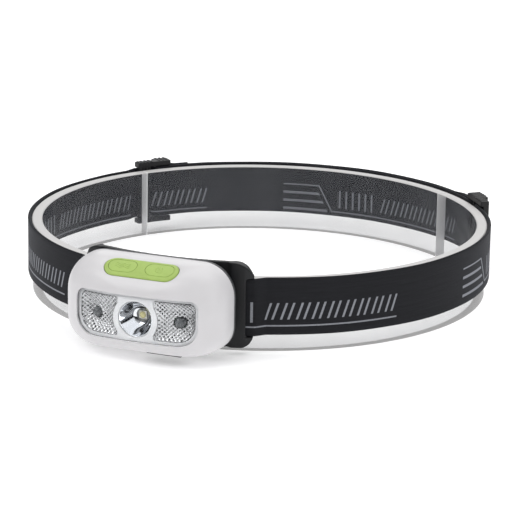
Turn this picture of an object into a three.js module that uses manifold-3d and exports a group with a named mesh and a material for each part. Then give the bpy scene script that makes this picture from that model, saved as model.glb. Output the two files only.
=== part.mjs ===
// Rechargeable headlamp on an elastic headband.
// Millimetres, +Z up. The headband is a ring round the Z axis; the lamp sits on the -Y side of it.
// Everything is laid out about the ring's centre line with z = 0 at the bottom of the clear
// band former, and the last group shifts the lot so the origin is under the middle of the box.
import * as THREE from 'three';
import { mergeVertices } from 'three/addons/utils/BufferGeometryUtils.js';
import Module from 'manifold-3d';

const wasm = await Module();
wasm.setup();

// ---------- driving dimensions ----------
const ORIGIN_SHIFT_Y = 14.064; // ring centre to the middle of the whole object's box

// elastic webbing: 25 mm wide, 1.5 mm thick, wound one and a quarter turns
const STRAP_T = 1.5;
const STRAP_Z0 = 7.5;
const STRAP_Z1 = 32.5;
const STRAP_R = 104.75; // centre line of the inner layer
const STRAP_R2 = 106.65; // centre line of the outer layer
const SLIDER_L = 142; // degrees round the ring, 0 at +X, 90 at +Y
const SLIDER_R = 38;

// clear band former
const FORMER_RI = 98.9;
const FORMER_RO = 103.6;
const FORMER_H = 31.6;
const FORMER_JOINTS = [53, 146];

// lamp housing
const SHELL_W = 36; // half width
const SHELL_TOP_C = 26.0; // height where the top rounding starts
const SHELL_TOP_R = 15.9;
const SHELL_BOT_C = 9.5;
const SHELL_BOT_R = 5.0;
const SHELL_Y0 = -117; // rounding towards the front starts here
const SHELL_DEPTH = 19;
const SHELL_REAR = -115.2;
const SHELL_WALL = 1.8;
const CORNER_TOP = 14;
const CORNER_BOT = 11;

// lens window and optics
const WIN_W = 27.4;
const WIN_Z0 = 9.9;
const WIN_Z1 = 29.5;
const OPTIC_Z = 19.3;
const MAIN_R = 7.2;
const SIDE_X = 18.5;

// two-key pad on the sloping top of the housing
const PAD_Y = -128.2;
const PAD_Z = 39.4;
const PAD_TILT = 31; // degrees from level
const PAD_L = 33;
const PAD_B = 10;
const KEY_X = 8.3;

// tilt hinge
const HINGE_Y = -109.2;
const HINGE_Z = 7.5;
const PIN_R = 1.0;

// ---------- helpers ----------
const rad = (d) => (d * Math.PI) / 180;

function solid(geometry) {
  let g = geometry.clone();
  g.deleteAttribute('normal');
  g.deleteAttribute('uv');
  g = mergeVertices(g, 1e-4);
  return new wasm.Manifold(
    new wasm.Mesh({
      numProp: 3,
      vertProperties: new Float32Array(g.attributes.position.array),
      triVerts: new Uint32Array(g.index.array),
    }),
  );
}

function geometryOf(m) {
  const mesh = m.getMesh();
  const g = new THREE.BufferGeometry();
  const n = mesh.vertProperties.length / mesh.numProp;
  const p = new Float32Array(n * 3);
  for (let i = 0; i < n; i++) for (let k = 0; k < 3; k++) p[3 * i + k] = mesh.vertProperties[mesh.numProp * i + k];
  g.setAttribute('position', new THREE.BufferAttribute(p, 3));
  g.setIndex(new THREE.BufferAttribute(new Uint32Array(mesh.triVerts), 1));
  return g;
}

function move(g, x, y, z) {
  g.translate(x, y, z);
  return g;
}

function box(x0, x1, y0, y1, z0, z1) {
  const g = new THREE.BoxGeometry(x1 - x0, y1 - y0, z1 - z0);
  return move(g, (x0 + x1) / 2, (y0 + y1) / 2, (z0 + z1) / 2);
}

function outline(points) {
  return new THREE.Shape(points.map(([x, y]) => new THREE.Vector2(x, y)));
}

// prism along Z from a plan outline
function prismZ(points, z0, z1, holes = []) {
  const s = outline(points);
  for (const h of holes) s.holes.push(new THREE.Path(h.map(([x, y]) => new THREE.Vector2(x, y))));
  return move(new THREE.ExtrudeGeometry(s, { depth: z1 - z0, bevelEnabled: false }), 0, 0, z0);
}

// prism along Y from a front outline given as [x, z]
function prismY(points, y0, y1, holes = []) {
  const g = prismZ(points, 0, y1 - y0, holes);
  g.applyMatrix4(new THREE.Matrix4().set(1, 0, 0, 0, 0, 0, -1, 0, 0, 1, 0, 0, 0, 0, 0, 1));
  return move(g, 0, y1, 0);
}

// turned part about an axis along Y: profile is [radius, y]
function turnedY(profile, x, z, segments = 24) {
  const pts = profile.map(([r, y]) => new THREE.Vector2(r, y));
  const g = new THREE.LatheGeometry(pts, segments);
  return move(g, x, 0, z);
}

function cylinderX(r, x0, x1, y, z, segments = 24) {
  const g = new THREE.CylinderGeometry(r, r, x1 - x0, segments);
  g.rotateZ(Math.PI / 2);
  return move(g, (x0 + x1) / 2, y, z);
}

function cylinderY(r, y0, y1, x, z, segments = 24) {
  const g = new THREE.CylinderGeometry(r, r, y1 - y0, segments);
  return move(g, x, (y0 + y1) / 2, z);
}

// rounded rectangle as [x, z], anticlockwise, with separate top and bottom corner radii
function roundedRect(w, z0, z1, rTop, rBot, n = 6) {
  const h = (z1 - z0) / 2;
  const rt = Math.min(rTop, w * 0.98, h * 0.98);
  const rb = Math.min(rBot, w * 0.98, h * 0.98);
  const out = [];
  const arc = (cx, cz, r, a0) => {
    for (let i = 0; i <= n; i++) {
      const a = rad(a0 + (90 * i) / n);
      out.push([cx + r * Math.cos(a), cz + r * Math.sin(a)]);
    }
  };
  arc(w - rb, z0 + rb, rb, 270);
  arc(w - rt, z1 - rt, rt, 0);
  arc(-w + rt, z1 - rt, rt, 90);
  arc(-w + rb, z0 + rb, rb, 180);
  return out;
}

function stadium(l, b, n = 8, cx = 0, cy = 0) {
  const r = b / 2;
  const out = [];
  for (let i = 0; i <= n; i++) out.push([cx + l / 2 - r + r * Math.cos(rad(-90 + (180 * i) / n)), cy + r * Math.sin(rad(-90 + (180 * i) / n))]);
  for (let i = 0; i <= n; i++) out.push([cx - l / 2 + r + r * Math.cos(rad(90 + (180 * i) / n)), cy + r * Math.sin(rad(90 + (180 * i) / n))]);
  return out;
}

// skin over a stack of equal-length rings, closed by a fan at each end
function loft(rings) {
  const n = rings[0].length;
  const pos = rings.flat(2);
  const idx = [];
  for (let k = 0; k + 1 < rings.length; k++)
    for (let i = 0; i < n; i++) {
      const j = (i + 1) % n;
      const a = k * n + i, b = k * n + j, c = (k + 1) * n + j, d = (k + 1) * n + i;
      idx.push(a, b, c, a, c, d);
    }
  const cap = (k, flip) => {
    const c = [0, 0, 0];
    for (const p of rings[k]) for (let q = 0; q < 3; q++) c[q] += p[q] / n;
    const at = pos.length / 3;
    pos.push(...c);
    for (let i = 0; i < n; i++) {
      const a = k * n + i, b = k * n + ((i + 1) % n);
      flip ? idx.push(at, b, a) : idx.push(at, a, b);
    }
  };
  cap(0, true);
  cap(rings.length - 1, false);
  const g = new THREE.BufferGeometry();
  g.setAttribute('position', new THREE.BufferAttribute(new Float32Array(pos), 3));
  g.setIndex(idx);
  return g;
}

// housing form: rounded box, crowned in plan, with a deep rounding from the top to the front.
// grow moves the whole skin outwards (or inwards when negative).
function housing(grow, rear, n = 6) {
  const w0 = SHELL_W + grow;
  const depth = SHELL_DEPTH + grow;
  const ring = (y, s) => {
    const w = w0 * Math.cbrt(1 - s ** 3);
    const zt = SHELL_TOP_C + (SHELL_TOP_R + grow) * (1 - s ** 2.2) ** (1 / 2.2);
    const zb = SHELL_BOT_C - (SHELL_BOT_R + grow) * (1 - s ** 3.4) ** (1 / 3.4);
    const h = (zt - zb) / 2;
    const rt = Math.min(CORNER_TOP + grow, w * 0.9, h * 0.95);
    const rb = Math.min(CORNER_BOT + grow, w * 0.9, h * 0.95);
    return roundedRect(w, zb, zt, rt, rb, n).map(([x, z]) => [x, y, z]);
  };
  const rings = [ring(rear, 0)];
  for (const s of [0, 0.18, 0.32, 0.45, 0.56, 0.66, 0.75, 0.83, 0.89, 0.94, 0.975]) rings.push(ring(SHELL_Y0 - depth * s, s));
  return solid(loft(rings));
}

// outline of the housing at its rear edge, moved inwards by inset
function rearOutline(inset, n = 6) {
  return roundedRect(
    SHELL_W - inset,
    SHELL_BOT_C - SHELL_BOT_R + inset,
    SHELL_TOP_C + SHELL_TOP_R - inset,
    CORNER_TOP - inset,
    CORNER_BOT - inset,
    n,
  );
}

const padFrame = new THREE.Matrix4().makeRotationX(rad(PAD_TILT));
padFrame.setPosition(0, PAD_Y, PAD_Z);
// prism square to the pad: u across the lamp, v up the slope, n outwards
function padPrism(points, n0, n1) {
  const g = prismZ(points, n0, n1);
  g.applyMatrix4(padFrame);
  return solid(g);
}

// a path in ring coordinates: [degrees round the ring, extra arc length, radius]
function ringPoint(deg, arc, r) {
  const a = rad(deg) + arc / STRAP_R;
  return new THREE.Vector2(r * Math.cos(a), r * Math.sin(a));
}

// polyline with every corner rounded to the given radius where it fits
function filleted(points, radius, steps = 3) {
  const out = [points[0]];
  for (let i = 1; i + 1 < points.length; i++) {
    const p = points[i];
    const a = points[i - 1].clone().sub(p);
    const b = points[i + 1].clone().sub(p);
    const la = a.length(), lb = b.length();
    a.divideScalar(la);
    b.divideScalar(lb);
    const turn = Math.PI - Math.acos(THREE.MathUtils.clamp(a.dot(b), -1, 1));
    if (turn < 0.08) {
      out.push(p);
      continue;
    }
    const t = Math.min(radius * Math.tan(turn / 2), la * 0.49, lb * 0.49);
    const start = p.clone().addScaledVector(a, t);
    const end = p.clone().addScaledVector(b, t);
    const m = Math.max(2, Math.ceil(turn / 0.45), steps - 1);
    for (let k = 0; k <= m; k++) {
      const u = k / m;
      out.push(
        start.clone().multiplyScalar((1 - u) ** 2).addScaledVector(p, 2 * u * (1 - u)).addScaledVector(end, u * u),
      );
    }
  }
  out.push(points[points.length - 1]);
  return out;
}

// flat strip of the given thickness that follows a plan path
function strip(path, thickness, z0, z1) {
  const left = [], right = [];
  for (let i = 0; i < path.length; i++) {
    const a = path[Math.max(i - 1, 0)], b = path[Math.min(i + 1, path.length - 1)];
    const p = path[i];
    let n;
    if (i === 0 || i === path.length - 1) {
      const d = b.clone().sub(a).normalize();
      n = new THREE.Vector2(-d.y, d.x);
    } else {
      const d1 = p.clone().sub(a).normalize(), d2 = b.clone().sub(p).normalize();
      const m = new THREE.Vector2(-d1.y - d2.y, d1.x + d2.x).normalize();
      n = m.multiplyScalar(1 / Math.max(0.5, m.dot(new THREE.Vector2(-d1.y, d1.x))));
    }
    left.push([p.x + (n.x * thickness) / 2, p.y + (n.y * thickness) / 2]);
    right.push([p.x - (n.x * thickness) / 2, p.y - (n.y * thickness) / 2]);
  }
  return prismZ([...left, ...right.reverse()], z0, z1);
}

// block bounded by two radii and two arc positions about a place on the ring
function ringBlock(deg, s0, s1, r0, r1, z0, z1, n = 3) {
  const pts = [];
  for (let i = 0; i <= n; i++) {
    const p = ringPoint(deg, s0 + ((s1 - s0) * i) / n, r1);
    pts.push([p.x, p.y]);
  }
  for (let i = n; i >= 0; i--) {
    const p = ringPoint(deg, s0 + ((s1 - s0) * i) / n, r0);
    pts.push([p.x, p.y]);
  }
  return solid(prismZ(pts, z0, z1));
}

const group = new THREE.Group();
function add(name, shape, color, roughness, metalness = 0) {
  const geometry = shape.isBufferGeometry ? shape : geometryOf(shape);
  const mesh = new THREE.Mesh(geometry, new THREE.MeshStandardMaterial({ color, roughness, metalness }));
  mesh.name = name;
  group.add(mesh);
}

// ---------- headband webbing ----------
// One strip. It starts as a sewn loop round the right slider's end bar, runs round the back as the
// inner layer, through the left slider, round the front behind the lamp bracket, through the right
// slider, over itself as the outer layer, and ends as a sewn loop round the left slider's end bar.
{
  const p = [];
  const at = (deg, arc, r) => p.push(ringPoint(deg, arc, r));
  const sweep = (d0, d1, r, step = 4) => {
    const n = Math.ceil((d1 - d0) / step);
    for (let i = 0; i <= n; i++) at(d0 + ((d1 - d0) * i) / n, 0, r);
  };
  at(SLIDER_R, 19, 106.65);
  at(SLIDER_R, 12.5, 106.75);
  at(SLIDER_R, 8.8, 108.85);
  at(SLIDER_R, 4.95, 108.85);
  at(SLIDER_R, 4.95, STRAP_R);
  at(SLIDER_R, 8, STRAP_R);
  sweep(SLIDER_R + 7, SLIDER_L - 8, STRAP_R);
  at(SLIDER_L, -1.6, STRAP_R);
  at(SLIDER_L, 1.6, 107.25);
  at(SLIDER_L, 5, 107.25);
  at(SLIDER_L, 9.6, 107.25);
  at(SLIDER_L, 15.5, STRAP_R);
  sweep(SLIDER_L + 12, 270 - 27, STRAP_R);
  at(270, -43.5, STRAP_R);
  at(270, -39, 107.05);
  at(270, -34.7, 107.05);
  at(270, -31, STRAP_R);
  sweep(270 - 14, 270 + 14, STRAP_R);
  at(270, 31, STRAP_R);
  at(270, 34.7, 107.05);
  at(270, 39, 107.05);
  at(270, 43.5, STRAP_R);
  sweep(270 + 27, 360 + SLIDER_R - 9, STRAP_R);
  at(360 + SLIDER_R, -0.9, STRAP_R);
  at(360 + SLIDER_R, 1.2, 108.65);
  at(360 + SLIDER_R, 4.2, 110.65);
  at(360 + SLIDER_R, 9.4, 110.65);
  at(360 + SLIDER_R, 13.4, 108.6);
  at(360 + SLIDER_R, 19.5, 108.6);
  at(360 + SLIDER_R, 24.5, STRAP_R2);
  sweep(360 + SLIDER_R + 17, 360 + SLIDER_L - 14, STRAP_R2);
  at(360 + SLIDER_L, -8, STRAP_R2);
  at(360 + SLIDER_L, -4.95, STRAP_R2);
  at(360 + SLIDER_L, -4.95, 110.75);
  at(360 + SLIDER_L, -8.6, 110.75);
  at(360 + SLIDER_L, -12.6, 108.55);
  at(360 + SLIDER_L, -19, 108.5);
  add('headband_webbing', strip(filleted(p, 1.5), STRAP_T, STRAP_Z0, STRAP_Z1), 0x232428, 0.85);
}

// ---------- sliders ----------
// Three-bar slider: a wide ribbed grip bar, a middle bar and an end bar that holds the sewn loop,
// joined by a rail above and below the webbing.
const RAIL_B0 = 4.7, RAIL_B1 = 7.1, RAIL_T0 = 32.9, RAIL_T1 = 35.3;
{
  // left: the grip bar is inside the webbing on the side towards the lamp
  const c = SLIDER_L;
  let m = ringBlock(c, 2.2, 8.9, 104.1, 106.1, RAIL_B0, RAIL_T1);
  for (const s of [3.3, 5.0, 6.7]) m = m.subtract(ringBlock(c, s, s + 0.8, 104.0, 104.6, RAIL_B0 + 1, RAIL_T1 - 1, 1));
  m = m.add(ringBlock(c, -3.4, -1.6, 105.9, 108.9, RAIL_B0, RAIL_T1));
  m = m.add(ringBlock(c, -8.0, -6.0, 107.7, 109.7, RAIL_B0, RAIL_T1));
  for (const [z0, z1] of [[RAIL_B0, RAIL_B1], [RAIL_T0, RAIL_T1]]) {
    m = m.add(ringBlock(c, -8.6, 9.0, 104.1, 108.2, z0, z1, 5));
    m = m.add(ringBlock(c, -8.6, -1.2, 108.1, 110.4, z0, z1, 3));
  }
  add('slider_left', m, 0x1b1b1d, 0.5);
}
{
  // right: the grip bar is outside the webbing on the side towards the lamp
  const c = SLIDER_R;
  let m = ringBlock(c, -8.9, -2.0, 105.9, 108.4, RAIL_B0, RAIL_T1);
  for (const s of [-7.9, -6.2, -4.5]) m = m.subtract(ringBlock(c, s, s + 0.8, 107.8, 108.5, RAIL_B0 - 1, RAIL_T1 + 1, 1));
  m = m.add(ringBlock(c, 2.4, 3.7, 105.2, 107.4, RAIL_B0, RAIL_T1));
  m = m.add(ringBlock(c, 6.0, 8.0, 105.8, 107.8, RAIL_B0, RAIL_T1));
  for (const [z0, z1] of [[RAIL_B0, RAIL_B1], [RAIL_T0, RAIL_T1]]) {
    m = m.add(ringBlock(c, -8.9, 8.8, 104.6, 108.4, z0, z1, 5));
    m = m.add(ringBlock(c, -1.2, 8.8, 108.3, 110.8, z0, z1, 3));
  }
  add('slider_right', m, 0x1b1b1d, 0.5);
}

// ---------- clear band former, in two curved halves that butt ----------
for (const [name, d0, d1] of [
  ['band_former_front', FORMER_JOINTS[1], FORMER_JOINTS[0] + 360],
  ['band_former_back', FORMER_JOINTS[0], FORMER_JOINTS[1]],
]) {
  const gap = 0.1;
  const n = Math.ceil((d1 - d0) / 5);
  const pts = [];
  for (let i = 0; i <= n; i++) {
    const a = rad(d0 + gap + ((d1 - d0 - 2 * gap) * i) / n);
    pts.push([FORMER_RO * Math.cos(a), FORMER_RO * Math.sin(a)]);
  }
  for (let i = n; i >= 0; i--) {
    const a = rad(d0 + gap + ((d1 - d0 - 2 * gap) * i) / n);
    pts.push([FORMER_RI * Math.cos(a), FORMER_RI * Math.sin(a)]);
  }
  add(name, prismZ(pts, 0, FORMER_H), 0xf2f4f5, 0.08);
}

// ---------- lamp bracket ----------
// Curved plate in front of the webbing, with an end bar on each side behind it.
{
  const c = 270;
  const plan = (s0, s1, r0, r1, z0, z1, n) => ringBlock(c, s0, s1, r0, r1, z0, z1, n);
  let m = plan(-29.6, 29.6, 106.0, 108.2, 10.4, 39.7, 12);
  for (const side of [-1, 1]) {
    const seg = (a, b, r0, r1, z0, z1, n = 2) =>
      side < 0 ? plan(-b, -a, r0, r1, z0, z1, n) : plan(a, b, r0, r1, z0, z1, n);
    // upright beside the slot, then rails above and below the webbing, then the end bar
    m = m.add(seg(26.5, 29.6, 105.95, 108.2, 2.8, 39.7));
    for (const [z0, z1] of [[2.8, 7.0], [33.0, 39.7]]) {
      m = m.add(seg(28.4, 33.2, 104.6, 108.2, z0, z1));
      m = m.add(seg(33.0, 38.0, 104.1, 107.4, z0, z1));
    }
    m = m.add(seg(35.6, 38.0, 104.1, 106.0, 2.8, 39.7));
    // ear for the hinge pin
    const x0 = side < 0 ? -14.8 : 12.2;
    let ear = solid(cylinderX(2.4, x0, x0 + 2.6, HINGE_Y, HINGE_Z));
    ear = ear.add(solid(box(x0, x0 + 2.6, HINGE_Y, -106.3, HINGE_Z - 1.6, HINGE_Z + 2.4)));
    ear = ear.add(solid(box(x0, x0 + 2.6, -108.0, -106.3, HINGE_Z, 12)));
    m = m.add(ear);
    m = m.subtract(solid(cylinderX(PIN_R + 0.08, x0 - 1, x0 + 3.6, HINGE_Y, HINGE_Z)));
  }
  // rounded corners, then a window in the plate that saves material behind the lamp
  m = m.intersect(solid(prismY(roundedRect(38.5, 2.8, 39.7, 8, 5.5, 6), -112, -90)));
  m = m.subtract(solid(prismY(roundedRect(13, 15, 33, 4, 4, 3), -112, -100)));
  add('bracket', m, 0x18191b, 0.45);
}
add('hinge_pin', solid(cylinderX(PIN_R, -15.4, 15.4, HINGE_Y, HINGE_Z)), 0xa8abaf, 0.3, 1);

// ---------- front shell ----------
const winOutline = (inset) => roundedRect(WIN_W - inset, WIN_Z0 + inset, WIN_Z1 - inset, 4 - inset, 8.5 - inset, 6);
const BOSSES = [[-27.6, 12.6], [27.6, 12.6], [-27.2, 33], [27.2, 33]];
{
  let m = housing(0, SHELL_REAR).subtract(housing(-SHELL_WALL, SHELL_REAR + 5));
  m = m.subtract(solid(prismY(winOutline(0), -140, -128)));
  // seat behind the window for the lens and carrier
  m = m.subtract(padPrism(stadium(PAD_L + 0.6, PAD_B + 0.6), -4, 4));
  // slot in the underside for the charging port cover
  m = m.subtract(solid(box(2.2, 18.6, -129.1, -120.9, 0, 8)));
  for (const [x, z] of BOSSES) {
    const boss = solid(cylinderY(2.4, -130.5, SHELL_REAR, x, z, 16)).intersect(housing(-0.6, SHELL_REAR));
    m = m.add(boss).subtract(solid(cylinderY(1.1, -124, SHELL_REAR + 1, x, z, 12)));
  }
  add('front_shell', m, 0xe9e9ec, 0.35);
}

// ---------- lens and optics ----------
const skin = (inner, outer) => housing(outer, SHELL_REAR).subtract(housing(inner, SHELL_REAR + 1));
add('lens', skin(-1.6, -0.4).intersect(solid(prismY(winOutline(0.3), -140, -126))), 0xf4f6f8, 0.05);

// wing shaped pocket beside the round main reflector, as [x, z]
function wing(side, inset) {
  const pts = [];
  const rIn = 9.9 + inset; // concave edge round the main reflector
  const xi = 7.9 + inset, zt = 28.3 - inset, zb = 11.2 + inset;
  const a = Math.acos(xi / rIn);
  pts.push([xi + 1.1, zt], [xi + 0.3, zt - 0.35], [xi, zt - 1.1]);
  for (let i = 0; i <= 5; i++) {
    const t = a - (2 * a * i) / 5;
    pts.push([rIn * Math.cos(t), OPTIC_Z + rIn * Math.sin(t)]);
  }
  pts.push([xi, zb + 1.1], [xi + 0.3, zb + 0.35], [xi + 1.1, zb]);
  const xr = 25.9 - inset, rb = 7.5 - inset, rt = 3 - inset * 0.7;
  for (let i = 0; i <= 5; i++) {
    const t = rad(-90 + 18 * i);
    pts.push([xr - rb + rb * Math.cos(t), zb + rb + rb * Math.sin(t)]);
  }
  for (let i = 0; i <= 3; i++) {
    const t = rad(30 * i);
    pts.push([xr - rt + rt * Math.cos(t), zt - rt + rt * Math.sin(t)]);
  }
  return side > 0 ? pts : pts.map(([x, z]) => [-x, z]).reverse();
}
{
  let m = skin(-3.0, -1.9).intersect(solid(prismY(winOutline(0.6), -140, -126)));
  m = m.subtract(solid(cylinderY(MAIN_R + 0.65, -140, -120, 0, OPTIC_Z, 32)));
  for (const side of [-1, 1]) m = m.subtract(solid(prismY(wing(side, 0), -140, -120)));
  add('reflector_carrier', m, 0xeeeef0, 0.4);
}
{
  const y0 = -133.8, depth = 7.3, n = 7;
  const profile = [];
  for (let i = 0; i <= n; i++) {
    const u = i / n;
    profile.push([2.8 + (MAIN_R - 2.8) * Math.sqrt(u), y0 + depth * (1 - u)]);
  }
  const outer = profile.map(([r, y]) => [r + 0.4, y + 0.3]).reverse();
  outer[0] = [MAIN_R + 0.4, y0];
  const ringProfile = [...profile, ...outer, profile[0]];
  let g = turnedY(ringProfile, 0, OPTIC_Z, 32);
  let m = solid(g);
  if (m.volume() < 0) {
    g = turnedY([...ringProfile].reverse(), 0, OPTIC_Z, 32);
    m = solid(g);
  }
  add('main_reflector', m, 0xd8dade, 0.12, 1);
}
for (const side of [-1, 1]) {
  const cup = (inset, yf, yb, scale) => {
    const f = wing(side, inset);
    const cx = SIDE_X * side;
    const b = f.map(([x, z]) => [cx + (x - cx) * scale, OPTIC_Z + (z - OPTIC_Z) * scale]);
    return solid(loft([b.map(([x, z]) => [x, yb, z]), f.map(([x, z]) => [x, yf, z])]));
  };
  let m = cup(0.3, -132.6, -128.6, 0.62).subtract(cup(0.9, -132.7, -129.3, 0.6));
  m = m.intersect(housing(-1.95, SHELL_REAR)).subtract(solid(cylinderY(2.3, -134, -124, SIDE_X * side, OPTIC_Z, 20)));
  add(side < 0 ? 'side_reflector_left' : 'side_reflector_right', m, 0xd8dade, 0.15, 1);
  const r = 2.0;
  const dome = [[0, -131.4]];
  for (let i = 1; i <= 5; i++) dome.push([r * Math.sin(rad(18 * i)), -129.4 - r * Math.cos(rad(18 * i))]);
  dome.push([r, -123.9], [0, -123.9]);
  add(
    side < 0 ? 'side_led_left' : 'side_led_right',
    turnedY(dome, SIDE_X * side, OPTIC_Z, 20),
    0x6e7276,
    0.15,
  );
}
{
  let led = solid(box(-1.75, 1.75, -126.6, -125.5, OPTIC_Z - 1.75, OPTIC_Z + 1.75));
  led = led.add(solid(turnedY([[0, -127.4], [0.9, -127.2], [1.5, -126.55], [1.5, -126.5], [0, -126.5]], 0, OPTIC_Z, 16)));
  add('main_led', led, 0xd9cf7a, 0.3);
  add('led_star_board', solid(cylinderY(6, -125.2, -124.1, 0, OPTIC_Z, 24)), 0xe4e5e6, 0.4);
}

// ---------- electronics ----------
{
  let pcb = solid(prismY(roundedRect(26.5, 7.5, 30.5, 2, 2, 2), -123.6, -122.6));
  for (const [x, z] of BOSSES) pcb = pcb.subtract(solid(cylinderY(2.8, -125, -120, x, z, 16)));
  add('circuit_board', pcb, 0x1f6b3a, 0.5);
}
{
  let s = solid(box(6.4, 14.4, -127.0, -123.9, 6.9, 12.4));
  s = s.subtract(solid(box(6.9, 13.9, -126.5, -124.4, 5, 11.6)));
  add('usb_socket', s, 0xb9bcc0, 0.3, 1);
  let c = solid(box(2.5, 18.3, -128.8, -121.2, 3.8, 5.3));
  c = c.add(solid(box(7.6, 13.0, -126.1, -124.8, 5.2, 8.0)));
  add('usb_cover', c, 0x151617, 0.7);
}
add('motion_sensor', solid(box(-13.5, -10.3, -125.7, -123.9, 8.0, 10.2)), 0x2a2a2e, 0.3);
{
  const b = prismZ(roundedRect(13.5, -3, 3, 1, 1, 2), -7.4, -6.6);
  b.applyMatrix4(padFrame);
  add('switch_board', solid(b), 0x1f6b3a, 0.5);
  for (const [name, x] of [['tact_switch_sensor', -KEY_X], ['tact_switch_power', KEY_X]]) {
    const body = prismZ([[x - 2.2, -2.2], [x + 2.2, -2.2], [x + 2.2, 2.2], [x - 2.2, 2.2]], -6.3, -4.9);
    const nib = prismZ(stadium(2.2, 2.2, 6, x, 0), -5.0, -4.3);
    body.applyMatrix4(padFrame);
    nib.applyMatrix4(padFrame);
    add(name, solid(body).add(solid(nib)), 0x303236, 0.45);
  }
}
{
  // lithium cell with rounded long edges
  const pts = [];
  for (const [cy, cz, a0] of [[-115.2, 9.2, 270], [-115.2, 29.6, 0], [-119.3, 29.6, 90], [-119.3, 9.2, 180]])
    for (let i = 0; i <= 3; i++) pts.push([cy + 1.3 * Math.cos(rad(a0 + 30 * i)), cz + 1.3 * Math.sin(rad(a0 + 30 * i))]);
  const g = prismZ(pts, -22.5, 22.5);
  g.applyMatrix4(new THREE.Matrix4().set(0, 0, 1, 0, 1, 0, 0, 0, 0, 1, 0, 0, 0, 0, 0, 1));
  add('battery_cell', g, 0x9fa6ad, 0.4, 0.3);
}
for (const [name, color, x] of [['battery_lead_red', 0xb02020, 3], ['battery_lead_black', 0x202022, -3]]) {
  const curve = new THREE.CatmullRomCurve3([
    new THREE.Vector3(x, -117.5, 31.4),
    new THREE.Vector3(x, -117.6, 33.2),
    new THREE.Vector3(x, -119.5, 34.0),
    new THREE.Vector3(x, -121.2, 32.4),
    new THREE.Vector3(x, -122.0, 29.6),
    new THREE.Vector3(x, -121.95, 27.2),
  ]);
  const circle = new THREE.Shape();
  circle.absarc(0, 0, 0.4, 0, Math.PI * 2);
  add(name, new THREE.ExtrudeGeometry(circle, { steps: 14, extrudePath: curve, curveSegments: 4, bevelEnabled: false }), color, 0.5);
}

// ---------- gasket, rear shell and screws ----------
add(
  'rim_gasket',
  prismY(rearOutline(0.5), -114.9, -113.9, [rearOutline(2.2).reverse()]),
  0x4b4d50,
  0.8,
);
{
  const at = (inset, y) => rearOutline(inset).map(([x, z]) => [x, y, z]);
  // rings run from the back towards the front
  let m = solid(loft([at(3.6, -109.6), at(2.0, -110.3), at(1.0, -111.6), at(0.8, -113.6)]));
  let pocket = solid(loft([at(3.6, -111.1), at(2.4, -114.2)]));
  pocket = pocket.subtract(solid(box(-40, 40, -120, -100, 0, 12)));
  m = m.subtract(pocket);
  // clearance for the bracket ears, then the knuckle between them
  for (const x0 of [-15.1, 11.9]) m = m.subtract(solid(box(x0, x0 + 3.2, -112.4, -109, 0, 10.6)));
  m = m.add(solid(cylinderX(2.4, -11.7, 11.7, HINGE_Y, HINGE_Z)));
  m = m.subtract(solid(cylinderX(PIN_R + 0.08, -16.2, 16.2, HINGE_Y, HINGE_Z)));
  for (const [x, z] of BOSSES) {
    m = m.subtract(solid(cylinderY(1.4, -115, -109, x, z, 12)));
    m = m.subtract(solid(cylinderY(2.5, -110.9, -108, x, z, 16)));
  }
  add('rear_shell', m, 0x1a1b1d, 0.5);
}
BOSSES.forEach(([x, z], i) => {
  let s = solid(cylinderY(2.2, -110.8, -109.8, x, z, 16)).add(solid(cylinderY(0.9, -121, -110.7, x, z, 12)));
  s = s.subtract(solid(box(x - 1.5, x + 1.5, -110.3, -109, z - 0.25, z + 0.25)));
  s = s.subtract(solid(box(x - 0.25, x + 0.25, -110.3, -109, z - 1.5, z + 1.5)));
  add(`screw_${i + 1}`, s, 0x8d9094, 0.35, 1);
});

// ---------- key pad ----------
{
  let pad = housing(0.45, SHELL_REAR).subtract(housing(-1.6, SHELL_REAR + 1)).intersect(padPrism(stadium(PAD_L, PAD_B), -4, 4));
  for (const x of [-KEY_X, KEY_X]) pad = pad.subtract(padPrism(stadium(13, 7.2, 8, x, 0), -5, 5));
  add('button_pad', pad, 0xa8cf52, 0.55);
  for (const [name, x] of [['sensor_key', -KEY_X], ['power_key', KEY_X]]) {
    let key = housing(0.75, SHELL_REAR).subtract(housing(-1.4, SHELL_REAR + 1)).intersect(padPrism(stadium(12.6, 6.8, 8, x, 0), -4, 4));
    key = key.add(padPrism(stadium(3, 3, 6, x, 0), -3.5, -0.8));
    add(name, key, 0xb0d55a, 0.55);
  }
}

group.position.y = ORIGIN_SHIFT_Y;
const headlamp = new THREE.Group();
headlamp.add(group);
export default headlamp;
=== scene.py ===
import math

import bmesh
import bpy
import numpy as np
from mathutils import Matrix, Vector
from mathutils.bvhtree import BVHTree


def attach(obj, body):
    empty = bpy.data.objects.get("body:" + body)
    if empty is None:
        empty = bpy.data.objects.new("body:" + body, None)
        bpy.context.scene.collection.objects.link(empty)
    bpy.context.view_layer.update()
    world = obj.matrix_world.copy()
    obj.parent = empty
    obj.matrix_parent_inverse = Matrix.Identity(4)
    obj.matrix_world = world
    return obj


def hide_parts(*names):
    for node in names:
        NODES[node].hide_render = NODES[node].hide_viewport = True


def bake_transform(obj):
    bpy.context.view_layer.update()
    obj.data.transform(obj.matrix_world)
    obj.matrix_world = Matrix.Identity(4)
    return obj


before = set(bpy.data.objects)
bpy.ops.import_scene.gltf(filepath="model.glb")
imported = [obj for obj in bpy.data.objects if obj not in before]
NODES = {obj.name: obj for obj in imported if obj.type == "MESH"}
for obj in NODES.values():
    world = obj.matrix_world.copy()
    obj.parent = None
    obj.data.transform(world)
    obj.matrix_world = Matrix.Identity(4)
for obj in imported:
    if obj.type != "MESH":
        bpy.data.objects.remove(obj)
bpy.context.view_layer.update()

MM = 0.001

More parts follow.
